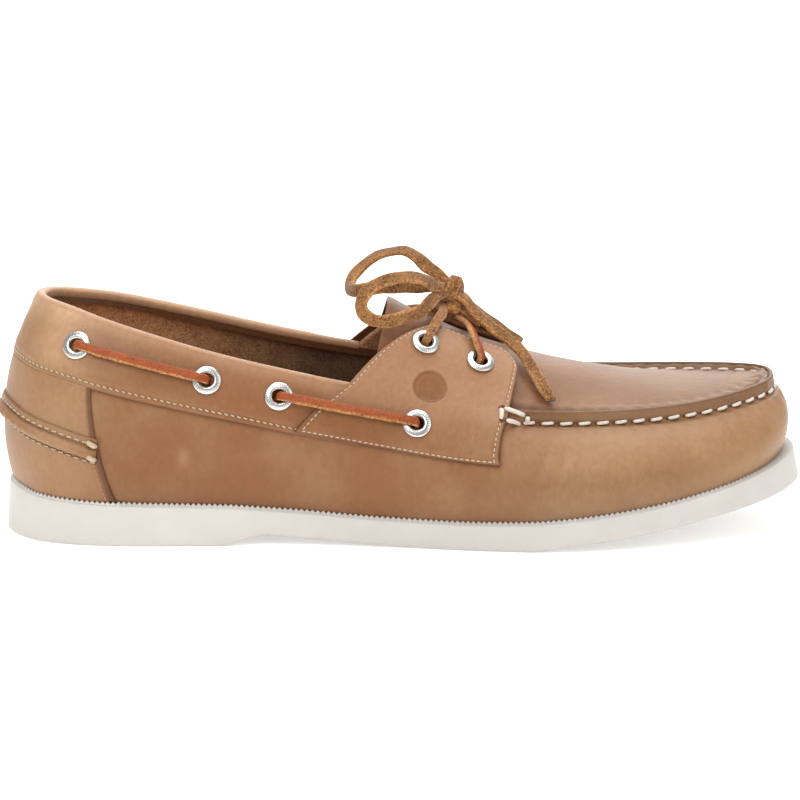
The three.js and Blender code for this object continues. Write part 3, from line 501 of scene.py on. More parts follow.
# Holes for the eyelets: four through the band on each side and two through the top of each eyestay
EYELETS = [[2.32, 0.785], [4.04, 0.78], [4.89, 0.775], [6.42, 0.75], [6.45, 1.4], [7.07, 1.385]]
ON_STAY = 5.55
eyes = {}
for k, (s, v) in enumerate(EYELETS):
    cover = OVER_GAP + OVERLAY if s > ON_STAY else 0
    seat = float(band_step(s) * (v > band_edge(s)) + lift(v) + cover + CLEAR)
    for m in (False, True):
        t = ROUND - s if m else s
        eyes[(k, m)] = (on_skin(t, v, seat), unit(facing(t, v)))


def pierce(points, faces, reach=3.3, through=9):
    points, faces = np.asarray(points).reshape(-1, 3), np.asarray(faces)
    kept = np.ones(len(faces), bool)
    middle = points[faces].mean(1)
    for seat, way in eyes.values():
        deep = (middle - seat) @ way
        flat = np.linalg.norm(middle - seat - deep[:, None] * way, axis=1)
        kept &= ~((flat < reach) & (np.abs(deep) < through))
    return faces[kept]


# The seam's stitches are 6.8 mm apart, and the wall's edge waves with them
WHIP = 6.8
seam_s = np.linspace(0, ROUND, 2600, endpoint=False)
seam_run = run_of(rim(seam_s))


def seam_wave(s):
    return np.cos(2 * math.pi * np.interp(np.mod(s, ROUND), seam_s, seam_run) / WHIP)


# Creases across the vamp's flex and one behind the arch: x, z, lean, width, height and depth
CREASES = ((206, 30, 0.5, 2.2, 9, 0.35), (214, 27, 0.6, 2.6, 8, 0.3),
           (199, 34, 0.45, 2.0, 7, 0.25), (70, 24, -0.3, 2.6, 6, 0.25))


def wall_offset(s, v):
    front = smooth(SEAM_START + 0.1, SEAM_FULL, side_of(s))
    below = (1 - v) * height(s)
    tuck = -0.55 * (1 - smooth(0.0, 0.02, v))
    groove = -0.65 * bump(below, 4.6, 1.1) * (0.75 - 0.25 * seam_wave(s))
    bulge = 0.55 * bump(below, 2.0, 1.6) * (0.8 + 0.4 * seam_wave(s))
    pucker = -0.16 * seam_wave(s) * bump(below, 7.5, 3.0)
    low = smooth(0, 0.12, v) * smooth(0, 0.15, 1 - v)
    p = wall(s, v)
    swell = 0.28 * np.sin(p[..., 0] / 13 + 1.1 * np.sin(p[..., 2] / 9)) * np.sin(p[..., 2] / 8 + p[..., 0] / 31)
    flex = sum(-d * bump(p[..., 0], x + lean * (p[..., 2] - 30), w) * bump(p[..., 2], z, h)
               for x, z, lean, w, h, d in CREASES)
    return tuck + front * (groove + bulge + pucker) + low * (swell + flex * (side_of(s) < 12))


s = np.linspace(0, ROUND, 1100, endpoint=False)
v = np.concatenate([np.linspace(0, 0.05, 7), np.linspace(0.06, 0.84, 58), np.linspace(0.848, 1, 20)])
S, V = np.meshgrid(s, v)
under_band = np.where(side_of(S) < SEAM_START, np.minimum(V, 0.97), V)
face = on_skin(S, under_band, wall_offset(S, under_band))
tangent = rim(s + 0.01) - rim(s - 0.01)
out = unit(np.stack([tangent[:, 1], -tangent[:, 0], 0 * s], -1))
# the raw edge at the top: out and up from the rim, over it and down inside
crest = [face[-1] + out * a + UPWARD * b
         for a, b in ((-0.25, 0.32), (-0.8, 0.5), (-1.3, 0.36), (-1.6, -0.1), (-1.65, -1.2), (-1.65, -3.6))]
points = np.concatenate([face, np.array(crest)])
X, Z, side, tall = face[..., 0], face[..., 2], side_of(S), height(S)
front = smooth(SEAM_START, SEAM_FULL, side)
below = (1 - V) * tall
# shade along the sole, in the seam's groove and on its lip
shade = 1 - 0.34 * np.exp(-V / 0.03) - 0.12 * np.exp(-V / 0.12) + 0.06 * bump(V, 0.62, 0.14)
shade -= front * (0.28 * bump(below, 4.6, 0.9) + 0.1 * bump(below, 7.0, 3.0))
shade -= 0.2 * (1 - smooth(0.25, 0.5, V)) * smooth(150, 200, X) * (1 - smooth(250, 280, X))
shade -= front * 0.38 * (1 - smooth(3.0, 5.0, below)) + front * 0.16 * (1 - smooth(0, 0.5, below))
# painted shadow: a dark line under the band's and the eyestay's lower edge and in front of the eyestay
stay_share = np.clip((side - STAY["rear_foot"]) / (STAY["front_foot"] - STAY["rear_foot"]), 0, 1)
foot_v = np.where(side < BAND_END, band_edge(S), mix(STAY["rear_v"], STAY["front_v"], stay_share))
shade -= 0.3 * bump((foot_v - V) * tall, 0, 1.1) * (side < STAY["front_foot"])
SECTION_APART = 29
ahead = side - stay_front(V)
shade -= 0.3 * bump(ahead * SECTION_APART, 0, 1.1) * (V > STAY["front_v"]) * (ahead > -0.02)
# pale scuffs on the outer side: x, z, width, height and how pale
for x, z, wide, high, light in ((67, 34, 2.2, 3.8, 0.4), (94, 20, 3, 2, 0.08), (103, 18, 4, 1.6, 0.07),
                                (226, 30, 9, 6, 0.06), (258, 38, 7, 8, 0.07)):
    shade += light * bump(X, x, wide) * bump(Z, z, high) * (S < TOE)
cut = np.repeat(np.array([0.55, 0.42, 0.36, 0.36, 0.36, 0.36])[:, None], len(s), 1)
piece("upper_vamp_and_quarters", points, pierce(points, grid_faces(len(points), len(s), closed=True)), leather,
      ["upper"], np.concatenate([shade, cut]))

# Moccasin seam: heavy waxed thread sewn by hand through both raised edges, a stitch every 6.8 mm
# outside and inside, each end of it in a needle's hole. Four short stitches tie the seam's end
# down over the front edge of each eyestay.

# Pierced leather: shadow and dark wax in a needle's hole, blotched every 0.33 mm
pierced, tree = new_material("leather_pierced_hole")
place = add(tree, "ShaderNodeTexCoord").outputs["Object"]
soot = add(tree, "ShaderNodeTexNoise", {"Vector": place, "Scale": 1000 / 0.333})
tint = add(tree, "ShaderNodeMix", {0: soot.outputs["Fac"], 6: colour("#4A2E1C"), 7: colour("#6B452C")},
           data_type="RGBA")
add(tree, "Principled BSDF", {"Base Color": tint.outputs[2], "Roughness": 0.9})


def stitches(name, line, normals, material, pitch, length, radius, slant=0.0, holes=True):
    run = run_of(line)
    count = int(run[-1] / pitch)
    at = (np.arange(count) + 0.5) * run[-1] / count
    seat, out = read_off(at, run, line), unit(read_off(at, run, normals))
    ahead = unit(read_off(at + 0.2, run, line) - read_off(at - 0.2, run, line))
    way = unit(ahead + slant * unit(np.cross(out, ahead)))
    beside = unit(np.cross(out, way))
    # eight rings of eight points along a stitch, arched and thinner at its ends
    u = np.array([-1, -0.9, -0.6, -0.2, 0.2, 0.6, 0.9, 1])
    thick = np.array([0.25, 0.7, 1, 1, 1, 1, 0.7, 0.25]) * radius
    rise = radius * (1.15 * np.sqrt(1 - u ** 2) - 0.45)
    turn = np.linspace(0, 2 * math.pi, 8, endpoint=False)
    spine = seat[:, None] + way[:, None] * (u * length / 2)[None, :, None] + out[:, None] * rise[None, :, None]
    points = (spine[:, :, None] + beside[:, None, None] * (np.cos(turn) * thick[:, None])[None, ..., None]
              + out[:, None, None] * (np.sin(turn) * thick[:, None])[None, ..., None])
    faces = (grid_faces(8, 8, closed=True)[None] + (np.arange(count) * 64)[:, None, None]).reshape(-1, 4)
    piece(name, points, faces, material)
    if holes:
        pits, lids = [], []
        for k, end in enumerate((-0.53, 0.53)):
            middle = seat + way * length * end
            ring = (middle[:, None] + way[:, None] * (np.cos(turn) * radius)[None, :, None]
                    + beside[:, None] * (np.sin(turn) * radius * 1.15)[None, :, None])
            top = middle + out * radius * 0.22
            pits.append(np.concatenate([ring - out[:, None] * radius * 0.2, top[:, None]], 1).reshape(-1, 3))
            for first in (k * count + np.arange(count)) * 9:
                lids += [[first + j, first + (j + 1) % 8, first + 8] for j in range(8)]
        piece(name + "_holes", np.concatenate(pits), np.array(lids), pierced)


# Thread, heavy and hand-waxed: cream strands with a low shine. They are 0.3 mm thick and would not
# show, so they are drawn 0.67 mm wide.
seam_thread, tree = new_material("thread_waxed_heavy_white")
place = add(tree, "ShaderNodeTexCoord").outputs["Object"]
strand = add(tree, "ShaderNodeTexNoise", {"Vector": place, "Scale": 1000 / 0.667, "Detail": 2.0})
tint = add(tree, "ShaderNodeMix", {0: strand.outputs["Fac"], 6: colour("#BEB4A8"), 7: colour("#E0D8CC")},
           data_type="RGBA")
lines = add(tree, "ShaderNodeBump", {"Strength": 0.6, "Distance": 0.00015, "Height": strand.outputs["Fac"]})
add(tree, "Principled BSDF", {"Base Color": tint.outputs[2], "Normal": lines.outputs[0], "Roughness": 0.6})
STITCH_V = SEAM_FOOT + (1 - SEAM_FOOT) * 0.1
s = np.linspace(7.62, ROUND - 7.62, 900)
line = on_skin(s, STITCH_V, wall_offset(s, np.full(900, STITCH_V)) + 0.15)
stitches("seam_stitches_outer", line, facing(s, STITCH_V), seam_thread, WHIP, 5.0, 0.68, 0.06)
inside = rim(s) - outward(s) * 3.75 - UPWARD * 1.9
stitches("seam_stitches_inner", inside, UPWARD * 0.5 - outward(s), seam_thread, WHIP, 4.6, 0.6, 0.06)
for k, (s0, v0, s1, v1) in enumerate(((7.36, 1.0, 7.36, 0.89), (7.38, 1.0, 7.72, 0.955),
                                      (7.7, 0.965, 7.7, 0.89), (7.38, 0.885, 7.66, 0.887))):
    for m in (False, True):
        t = np.linspace(0, 1, 20)
        ss, vv = mix(s0, s1, t), mix(v0, v1, t)
        at = ROUND - ss if m else ss
        proud = mix(OVER_GAP + OVERLAY + 0.25, wall_offset(at, vv) + 0.3, smooth(7.42, 7.6, ss))
        line = on_skin(at, np.minimum(vv, 0.995), proud) + UPWARD * (vv > 0.97)[:, None] * 0.4
        length = np.linalg.norm(line[-1] - line[0])
        stitches(f"seam_cross_{k}_{'in' if m else 'out'}", line, facing(at, 0.95), seam_thread,
                 length * 0.98, length, 0.9)

# Plug: a flat piece of the same leather over the toes. Its edge turns up inside the seam, and each
# stitch puckers it. It starts under the wings and is a little darker towards the toe.
SEAM_DROP = 3.8
PLUG_REAR = 6.9
plug_s = np.linspace(PLUG_REAR, TOE - 0.004, 330)
w = np.concatenate([[0.0, 0.012], np.linspace(0.024, 0.3, 50), np.linspace(0.315, 1, 40)])
S, W = np.meshgrid(plug_s, w)
ring_s = np.linspace(6.7, ROUND - 6.7, 700)
ring_line = rim(ring_s)[:, :2]
halves = []
for t in (S, ROUND - S):
    p = instep(t, W, SEAM_DROP)
    gap, near_s = np.empty(t.shape), np.empty(t.shape)
    for k, row in enumerate(p[..., :2]):
        d = np.linalg.norm(row[:, None] - ring_line[None], axis=2)
        near_s[k], gap[k] = ring_s[d.argmin(1)], d.min(1)
    wave = seam_wave(near_s)
    level = rim(near_s)[..., 2] - 0.25
    up = smooth(1.6, 2.0, gap) - smooth(2.9, 4.4, gap)
    flat = p[..., 2] + 0.45 * bump(gap, 5.6, 1.6) - 0.2 * wave * bump(gap, 6, 3.2)
    flat += 0.35 * np.sin(p[..., 0] / 15) * smooth(6, 16, gap) * np.sin(p[..., 1] / 11 + 1)
    p[..., 2] = mix(flat, level + 0.15 * wave, up)
    # darker towards the toe, with painted shade in the seam's groove and on the edge turned up inside it
    dark = mix(0.82, 0.71, smooth(195, 245, p[..., 0])) - 0.3 * bump(gap, 4.3, 0.8) - 0.18 * (gap < 3.2)
    halves.append((p, dark))
points = np.concatenate([halves[0][0], halves[1][0][::-1][1:]])
tone = np.concatenate([halves[0][1], halves[1][1][::-1][1:]])
piece("upper_plug", points, grid_faces(len(points), len(plug_s)), leather, (), tone)

# Collar band: a second layer of leather round the opening, sewn 2.2 mm above its turned lower edge.
# Its top is rolled over the rim and down inside. In front it thins out under the eyestay.


def arc_places(start, end, step, line):
    s = np.linspace(start, end, 900)
    run = run_of(line(s))
    return np.interp(np.linspace(0, run[-1], int(run[-1] / step) + 1), run, s)


s = arc_places(-5.75, 5.75, 0.75, rim)
BAND_SEWN, EDGE, TOP_V = 2.2, 3.2, 0.97
tall = np.linalg.norm(wall(s, TOP_V) - wall(s, band_edge(s)), axis=1)
u = np.concatenate([[0, 0.15, 0.45, 0.85, 1.3, 1.6, 1.9, 2.2, 2.6, EDGE], np.linspace(4.2, 30, 26)])[:, None]
dist = np.where(u <= EDGE, u, mix(EDGE, tall[None], (u - EDGE) / (30 - EDGE)))
V = mix(band_edge(s)[None], TOP_V, dist / tall[None])
S = np.broadcast_to(s, V.shape)
thick = band_step(S) + 0.36 * smooth(BAND_END, BAND_END + BAND_FADE, side_of(S))
swell = thick * np.sqrt(np.clip(1 - (1 - np.minimum(1, dist / 1.3)) ** 2, 0, 1)) - 0.25 * (dist < 0.05)
swell += -0.28 * bump(dist, BAND_SEWN, 0.55) + 0.25 * bump(dist, 4.6, 1.8)
swell += 0.45 * bump(dist, tall - 1.0, 3.0) * (thick > 1)
p = on_skin(S, V, swell)
puff = 0.16 * np.sin(p[..., 0] / 8.5) * np.sin(p[..., 2] / 6 + 1) * (dist > 4)
p = on_skin(S, V, swell + puff)
top, inner = p[-1], on_skin(s, 0.999, BAND_STEP - COLLAR)
roll = []
for a in np.linspace(0.12, 1, 9):
    level = mix(top[:, 2], rim(s)[:, 2] - 0.9, a)
    flat = (top + inner)[:, :2] / 2 + (top - inner)[:, :2] / 2 * math.cos(math.pi * a)
    roll.append(np.column_stack([flat, level + 1.45 * math.sin(math.pi * a)]))
down = [on_skin(s, 1 - k, BAND_STEP - COLLAR - d)
        for k, d in ((0.018, 0.3), (0.032, 0.45), (0.044, 0.35), (0.05, 0.0), (0.053, -0.5))]
points = np.concatenate([p, np.array(roll), np.array(down)])
# darker at the turned lower edge, partly its cut and partly painted shadow under it, and along the sewn line;
# painted highlights on its top, round the heel and in a streak a little forward of the heel
tone = 1.05 - 0.5 * bump(dist, 0, 0.75) - 0.16 * bump(dist, BAND_SEWN, 0.5)
tone += 0.5 * bump(dist, tall, 3.5)
tone += 0.5 * bump(side_of(s), 0, 1.3) * smooth(0.5, 0.9, dist / tall)
tone += 0.75 * bump(side_of(s), 1.9, 0.5) * smooth(0.02, 0.3, dist / tall)
# the roll carries a painted highlight over the rim and down inside, fading into painted shade where it tucks
# under the lining
roll_tone = np.array([1.9, 1.9, 2.0, 2.0, 2.1, 2.2, 2.2, 2.2, 2.2, 2.2, 1.9, 1.3, 0.5, 0.35])
piece("upper_collar_band", points, pierce(points, grid_faces(len(points), len(s))), leather,
      (), np.concatenate([tone, np.repeat(roll_tone[:, None], len(s), 1)]))

# Thread, fine waxed polyester: cream with a low shine, its strands drawn 0.38 mm wide, twice as
# coarse as they are
thread, tree = new_material("thread_waxed_polyester")
place = add(tree, "ShaderNodeTexCoord").outputs["Object"]
strand = add(tree, "ShaderNodeTexNoise", {"Vector": place, "Scale": 1000 / 0.385, "Detail": 2.0})
tint = add(tree, "ShaderNodeMix", {0: strand.outputs["Fac"], 6: colour("#A8917A"), 7: colour("#CDB89E")},
           data_type="RGBA")
lines = add(tree, "ShaderNodeBump", {"Strength": 0.5, "Distance": 0.0001, "Height": strand.outputs["Fac"]})
add(tree, "Principled BSDF", {"Base Color": tint.outputs[2], "Normal": lines.outputs[0], "Roughness": 0.7})
v = mix(band_edge(s), TOP_V, BAND_SEWN / tall)
seen = side_of(s) < 5.12
stitches("collar_band_stitches", on_skin(s, v, band_step(s) - 0.2)[seen], facing(s, v)[seen], thread,
         2.4, 1.6, 0.3, -0.2)

# Lining: suede glued inside the wall with its nap to the foot, from under the roll down to the sock, and under
# the plug. It has a painted highlight at the heel and painted shade towards the toes and low down.

# Suede, buffed: a brown nap without gloss that brightens softly where it is seen at a slant
suede, tree = new_material("suede_napped_lining")
base, relief = napped(tree, "#865835", "#D59F6D", 0.0005)
add(tree, "Principled BSDF", {"Base Color": base, "Normal": relief, "Roughness": 0.95, "Sheen Weight": 0.4,
                              "Sheen Roughness": 0.5, "Specular IOR Level": 0.15})
s = np.linspace(0, ROUND, 420, endpoint=False)
v = np.linspace(0.0, 0.953, 34)
S, V = np.meshgrid(s, v)
back = 1 - smooth(5.2, 6.4, side_of(S))
offset = back * (BAND_STEP * smooth(0.5, 0.9, V) - mix(WALL, COLLAR + 0.1, smooth(0.7, 1, V)))
offset -= (1 - back) * 2.6
offset += 0.25 * np.sin(wall(S, V)[..., 0] / 9) * np.sin(V * 17)
p = on_skin(S, V, offset)
# painted highlight near the heel, painted shade towards the toes and deeper down
tone = np.interp(p[..., 0], [45, 79, 118], [1.65, 0.9, 0.3]) * mix(0.5, 1.0, smooth(0.5, 0.92, V))
piece("upper_lining", p, grid_faces(len(v), len(s), closed=True), suede, (), tone)
w = np.linspace(0.04, 1, 20)[:, None]
near, far = (instep(t, w, SEAM_DROP) - UPWARD * 1.6 for t in (plug_s[None, ::3], ROUND - plug_s[None, ::3]))
under = np.concatenate([near, far[::-1][1:]])
piece("upper_plug_lining", under, grid_faces(len(under), under.shape[1]), suede)

# Eyestays: a separate piece of the leather on each side, over the quarter and up over the wing. Its
# cut edge is left raw, and it is sewn down 1.8 mm inside that. A plain disc is pressed into the
# outer one, and suede backs both wings, seen in the throat.
STAY_WIDE, STAY_TALL, STAY_SEWN = 60, 88, 1.8


def sheet_faces(rows, cols):
    top = grid_faces(rows, cols)
    under = top[:, ::-1] + rows * cols
    ring = np.concatenate([np.arange(cols), np.arange(1, rows) * cols + cols - 1,
                           (rows - 1) * cols + np.arange(cols - 1)[::-1],
                           np.arange(1, rows - 1)[::-1] * cols])
    after = np.roll(ring, -1)
    side = np.stack([ring, after, after + rows * cols, ring + rows * cols], -1)
    return np.concatenate([top, under, side])


def stay_place(a, b):
    low = mix(STAY["rear_v"], STAY["front_v"], a)
    v = np.where(b < 0.5, mix(low, 1, b / 0.5), mix(1, STAY["top_v"], (b - 0.5) / 0.5))
    return mix(stay_rear(v), stay_front(v), a), v


def ends(n, length):
    near = np.array([0, 0.06, 0.2, 0.45, 0.8, 1.4]) / length
    return np.concatenate([near, np.linspace(2 / length, 1 - 2 / length, n), 1 - near[::-1]])


def edge_round(a, b, wide, tall, r, thick):
    e = np.minimum.reduce([a * wide, (1 - a) * wide, b * tall, (1 - b) * tall])
    return thick * (1 - 0.75 * (1 - np.sqrt(np.clip(1 - (1 - np.minimum(1, e / r)) ** 2, 0, 1)))), e


a, b = ends(120, 70), ends(170, STAY_TALL)
A, B = np.meshgrid(a, b)
S, V = stay_place(A, B)
thick, e = edge_round(A, B, mix(70, 50, B), STAY_TALL, 0.55, OVERLAY)
seat = band_step(S) + lift(V) + OVER_GAP
disc = on_skin(6.53, 1.075, 2.0)
for m in (False, True):
    word = "medial" if m else "lateral"
    T = ROUND - S if m else S
    groove = -0.16 * bump(e, STAY_SEWN, 0.45) + 0.12 * bump(e, 3.4, 1.2)
    p = on_skin(T, V, seat + thick)
    wave = 0.14 * np.sin(p[..., 0] / 7 + 0.6) * np.sin(p[..., 2] / 9) * smooth(4, 9, e)
    # the disc is 12.8 mm across, its floor sunk and ringed; these distances put its edge at 5.2
    far = np.linalg.norm(p - disc, axis=-1) * 5.2 / 6.4
    press = -0.28 * (1 - smooth(4.9, 5.4, far)) + 0.12 * bump(far, 5.7, 0.35) - 0.12 * bump(far, 4.2, 0.25)
    upper_face = on_skin(T, V, seat + thick + groove + wave + press)
    # a painted highlight towards the top, where it faces up; darker at the raw edge, along the sewn line and in
    # the pressed disc
    tone = mix(0.97, 1.5, smooth(0.62, 1.1, V)) - 0.5 * bump(e, 0, 0.6) - 0.14 * bump(e, STAY_SEWN, 0.5)
    tone -= 0.6 * (1 - smooth(4.95, 5.25, far)) + 0.16 * bump(far, 5.1, 0.3) - 0.1 * bump(far, 4.0, 0.5)
    points = np.concatenate([upper_face.reshape(-1, 3), on_skin(T, V, seat).reshape(-1, 3)])
    piece(f"eyestay_{word}_leather", points, pierce(points, sheet_faces(len(b), len(a))), leather,
          [f"eyestay_{word}"], np.concatenate([tone.ravel(), np.full(tone.size, 0.6)]))
    inset_a, inset_b = STAY_SEWN / STAY_WIDE, STAY_SEWN / STAY_TALL
    t = np.linspace(0, 1, 240)
    same = np.ones(240)
    sewn_a = np.concatenate([same * inset_a, mix(inset_a, 1 - inset_a, t), same * (1 - inset_a),
                             mix(1 - inset_a, inset_a, t)])
    sewn_b = np.concatenate([mix(0.97, inset_b, t), same * inset_b, mix(inset_b, 0.97, t),
                             same * (1 - inset_b)])
    ss, vv = stay_place(sewn_a, sewn_b)
    tt = ROUND - ss if m else ss
    line = on_skin(tt, vv, band_step(ss) + lift(vv) + OVER_GAP + OVERLAY - 0.12)
    stitches(f"eyestay_{word}_stitches", line, facing(tt, vv), thread, 2.1, 1.5, 0.26)
    v2 = mix(0.9, STAY["top_v"] - 0.02, np.linspace(0, 1, 30)[:, None]) * np.ones(40)
    s2 = mix(stay_rear(v2) + 0.05, stay_front(v2) - 0.05, np.linspace(0.02, 0.98, 40)[None])
    t2 = ROUND - s2 if m else s2
    points = np.concatenate([on_skin(t2, v2, band_step(s2) + lift(v2) + 0.2).reshape(-1, 3),
                             on_skin(t2, v2, lift(v2) - WALL + 0.5).reshape(-1, 3)])
    piece(f"eyestay_{word}_backing", points, pierce(points, sheet_faces(30, 40)), suede)

# Heel counter: thin leather round the heel, tucked under the band and the sole. Its front edges are
# raw and dark, and a row of fine tan thread runs 3.6 mm behind each.
COUNTER, COUNTER_LONG, COUNTER_TOP, COUNTER_FOOT, FOOT_V = 0.9, 170, 2.67, 3.1, 0.006


def counter_front(b):
    return COUNTER_TOP + (COUNTER_FOOT - COUNTER_TOP) * (1 - b) ** 1.4


a, b = ends(150, COUNTER_LONG), np.linspace(0, 1, 60)
A, B = np.meshgrid(a, b)
S = (2 * A - 1) * counter_front(B)
V = mix(FOOT_V, band_edge(S) + 0.01, B)
e = np.minimum(A, 1 - A) * COUNTER_LONG
thick, _ = edge_round(A, np.full_like(B, 0.5), COUNTER_LONG, 60, 0.5, COUNTER + OVER_GAP)
tuck = -0.8 * (1 - smooth(0, 0.03, V))
offset = thick + tuck - 0.14 * bump(e, 3.6, 0.5) - 0.25 * bump(e, 2.1, 0.3)
p = on_skin(S, V, offset)
wave = 0.12 * np.sin(p[..., 1] / 6) * np.sin(p[..., 2] / 7) * smooth(2, 5, e)
# darker at the raw front edges and along the stitch rows, with painted shade along the sole
tone = 1.1 - 0.7 * (1 - smooth(1.9, 2.2, e)) - 0.1 * bump(e, 3.6, 0.5) - 0.3 * np.exp(-V / 0.03)
points = np.concatenate([on_skin(S, V, offset + wave).reshape(-1, 3),
                         on_skin(S, V, 0.05 + tuck).reshape(-1, 3)])
piece("heel_counter_leather", points, sheet_faces(len(b), len(a)), leather, ["heel_counter"],
      np.concatenate([tone.ravel(), np.full(tone.size, 0.5)]))

# Thread, spun polyester dyed tan: dull, so it sinks into the leather
tan_thread, tree = new_material("thread_tan_polyester")
place = add(tree, "ShaderNodeTexCoord").outputs["Object"]
strand = add(tree, "ShaderNodeTexNoise", {"Vector": place, "Scale": 1000 / 0.385, "Detail": 2.0})
tint = add(tree, "ShaderNodeMix", {0: strand.outputs["Fac"], 6: colour("#94704E"), 7: colour("#B4906C")},
           data_type="RGBA")
add(tree, "Principled BSDF", {"Base Color": tint.outputs[2], "Roughness": 0.7})
for m in (-1, 1):
    t = np.linspace(0.03, 0.98, 200)
    ss = m * (counter_front(t) - 0.118)
    vv = mix(FOOT_V, band_edge(ss), t)
    stitches(f"heel_counter_stitches_{'out' if m > 0 else 'in'}", on_skin(ss, vv, COUNTER + OVER_GAP - 0.12),
             facing(ss, vv), tan_thread, 1.9, 1.3, 0.24)

# Heel strap: a strip of the leather rolled over a cord and sewn above and below across the counter.
# Two bar tacks of doubled thread hold each end.
STRAP_END, STRAP_BACK, STRAP_TIP, STRAP_WIDE, PROUD = 2.84, 0.352, 0.262, 7.4, 2.9
STRAP_SEAT = OVER_GAP + COUNTER


def strap_v(a):
    return mix(STRAP_BACK, STRAP_TIP, np.abs(a) ** 1.6)


A, U = np.meshgrid(np.linspace(-1, 1, 260), np.linspace(-1, 1, 25))
S = A * STRAP_END
V = strap_v(A) + 0.5 * U * STRAP_WIDE / height(S)
tip = 1 - 0.55 * smooth(0.955, 1, np.abs(A))
hump = np.sqrt(np.clip(1 - np.abs((U + 0.38) / 0.56) ** 2, 0, 1))
flange = 0.9 * (1 - smooth(0.9, 1.0, np.abs(U)))
rise = np.maximum(hump * PROUD * tip, flange) - 0.45 * bump(U, 0.24, 0.08)
rise += 0.12 * np.sin(A * 70 + U * 2) * hump
# painted shade along its edges and in the crease above the roll, darker cut ends, a faint painted highlight on
# the roll
tone = 1 - 0.4 * smooth(0.86, 0.97, np.abs(U)) - 0.2 * smooth(0.97, 1, np.abs(A)) + 0.05 * hump
tone -= 0.3 * bump(U, 0.22, 0.1)
piece("heel_strap_rolled", on_skin(S, V, STRAP_SEAT + rise), grid_faces(*A.shape), leather,
      ["heel_strap"], tone)
for word, level, high in (("upper", 0.24, 0.9), ("lower", -0.58, 0.15)):
    ss = np.linspace(-STRAP_END, STRAP_END, 500)
    vv = strap_v(ss / STRAP_END) + level * STRAP_WIDE / height(ss)
    stitches(f"heel_strap_stitches_{word}", on_skin(ss, vv, STRAP_SEAT + high), facing(ss, vv) + UPWARD * 0.4,
             thread, 3.1, 2.2, 0.3, 0.1)
for m in (False, True):
    for k, level in enumerate((0.032, -0.034)):
        ss = STRAP_END + np.linspace(-0.15, 0.02, 20)
        at = -ss if m else ss
        vv = STRAP_TIP + level - np.linspace(-0.012, 0.012, 20)
        stitches(f"heel_strap_knot_{'in' if m else 'out'}_{k}", on_skin(at, vv, STRAP_SEAT + 1.5),
                 facing(at, vv), thread, 4.8, 4.4, 1.0, holes=False)

# Tongue: one soft piece of the leather, 2 mm thick, sewn to the plug under the wings. Its rear edge
# is cut round and turns up a little in the middle.
a, b = ends(60, 45), ends(70, 50)
A, B = np.meshgrid(a, b)
T = mix(-0.7, 0.7, B)
S = mix(5.85 + 0.22 * (1 - T * T), 7.0, A)
flip = 1.5 * (1 - smooth(0, 0.35, A)) * (1 - smooth(0.2, 0.6, np.abs(T)))


def on_plug(s, t, d):
    p = np.where((t <= 0)[..., None], instep(s, np.clip(1 + t, 0, 1), SEAM_DROP),
                 instep(ROUND - s, np.clip(1 - t, 0, 1), SEAM_DROP))
    return p + UPWARD * np.asarray(d)[..., None]


thick, e = edge_round(A, B, 45, 50, 0.9, 2.0)
top = on_plug(S, T, flip - 2.0 + thick + 0.2 * np.sin(S * 9) * smooth(2, 8, e))
tone = 1 - 0.4 * bump(e, 0, 0.5)
piece("tongue_leather", np.concatenate([top.reshape(-1, 3), on_plug(S, T, flip - 2.0).reshape(-1, 3)]),
      sheet_faces(len(b), len(a)), leather, ["tongue"],
      np.concatenate([tone.ravel(), np.full(tone.size, 0.6)]))

# Eyelets: pressed brass rings, 10.6 mm across, clinched through leather and lining. Their flange is
# domed over the bore and milled with 36 fine ticks.
BORE, TUBE, FLANGE, EYE_RISE, BARREL = 2.4, 2.95, 5.3, 1.0, -2.5

# Brass, pressed and nickel-plated: bright and cool, with a slight blotchy haze every 2.9 mm
nickel, tree = new_material("nickel_plated_brass_pressed")
place = add(tree, "ShaderNodeTexCoord").outputs["Object"]
haze = add(tree, "ShaderNodeTexNoise", {"Vector": place, "Scale": 1000 / 2.86, "Detail": 3.0})
tint = add(tree, "ShaderNodeMix", {0: haze.outputs["Fac"], 6: colour("#BDBBB6"), 7: colour("#E6E5E2")},
           data_type="RGBA")
rough = add(tree, "ShaderNodeMapRange", {"Value": haze.outputs["Fac"], "To Min": 0.2, "To Max": 0.32})
add(tree, "Principled BSDF", {"Base Color": tint.outputs[2], "Roughness": rough.outputs[0], "Metallic": 1.0})
section = [(BORE, BARREL), (TUBE, BARREL), (TUBE, -0.05), (5.2, -0.05), (FLANGE, 0.08), (5.28, 0.3),
           (5.12, 0.52), (4.85, 0.66), (4.5, 0.78), (4.1, 0.9), (3.7, 0.98), (3.3, EYE_RISE),
           (2.95, 0.93), (2.7, 0.78), (2.52, 0.55), (2.42, 0.25), (BORE, -0.2), (BORE, BARREL)]
turn = np.linspace(0, 2 * math.pi, 144, endpoint=False)
for (k, m), (seat, way) in eyes.items():
    across = unit(np.cross(way, UPWARD))
    upright = np.cross(across, way)
    rows = []
    for r, z in section:
        tick = 0.07 * (np.cos(36 * turn) > 0.2) * (4.0 < r < 5.0) * (z > 0.5)
        rows.append(seat + (np.cos(turn) * r)[:, None] * across + (np.sin(turn) * r)[:, None] * upright
                    + (z - tick)[:, None] * way)
    node = f"eyelet_{'medial' if m else 'lateral'}_{k + 1}"
    piece(f"{node}_plated", np.array(rows), grid_faces(len(section), len(turn), closed=True), nickel,
          [node])

# Lace along the collar: the rawhide strip comes out of one eyelet, lies flat on the band with its
# grain face out, and dips into the next. It runs on inside the band, where it can't be seen.
LACE_WIDE, LACE_THICK = 3.7, 2.2
OVER = EYE_RISE + LACE_THICK / 2 + 0.35


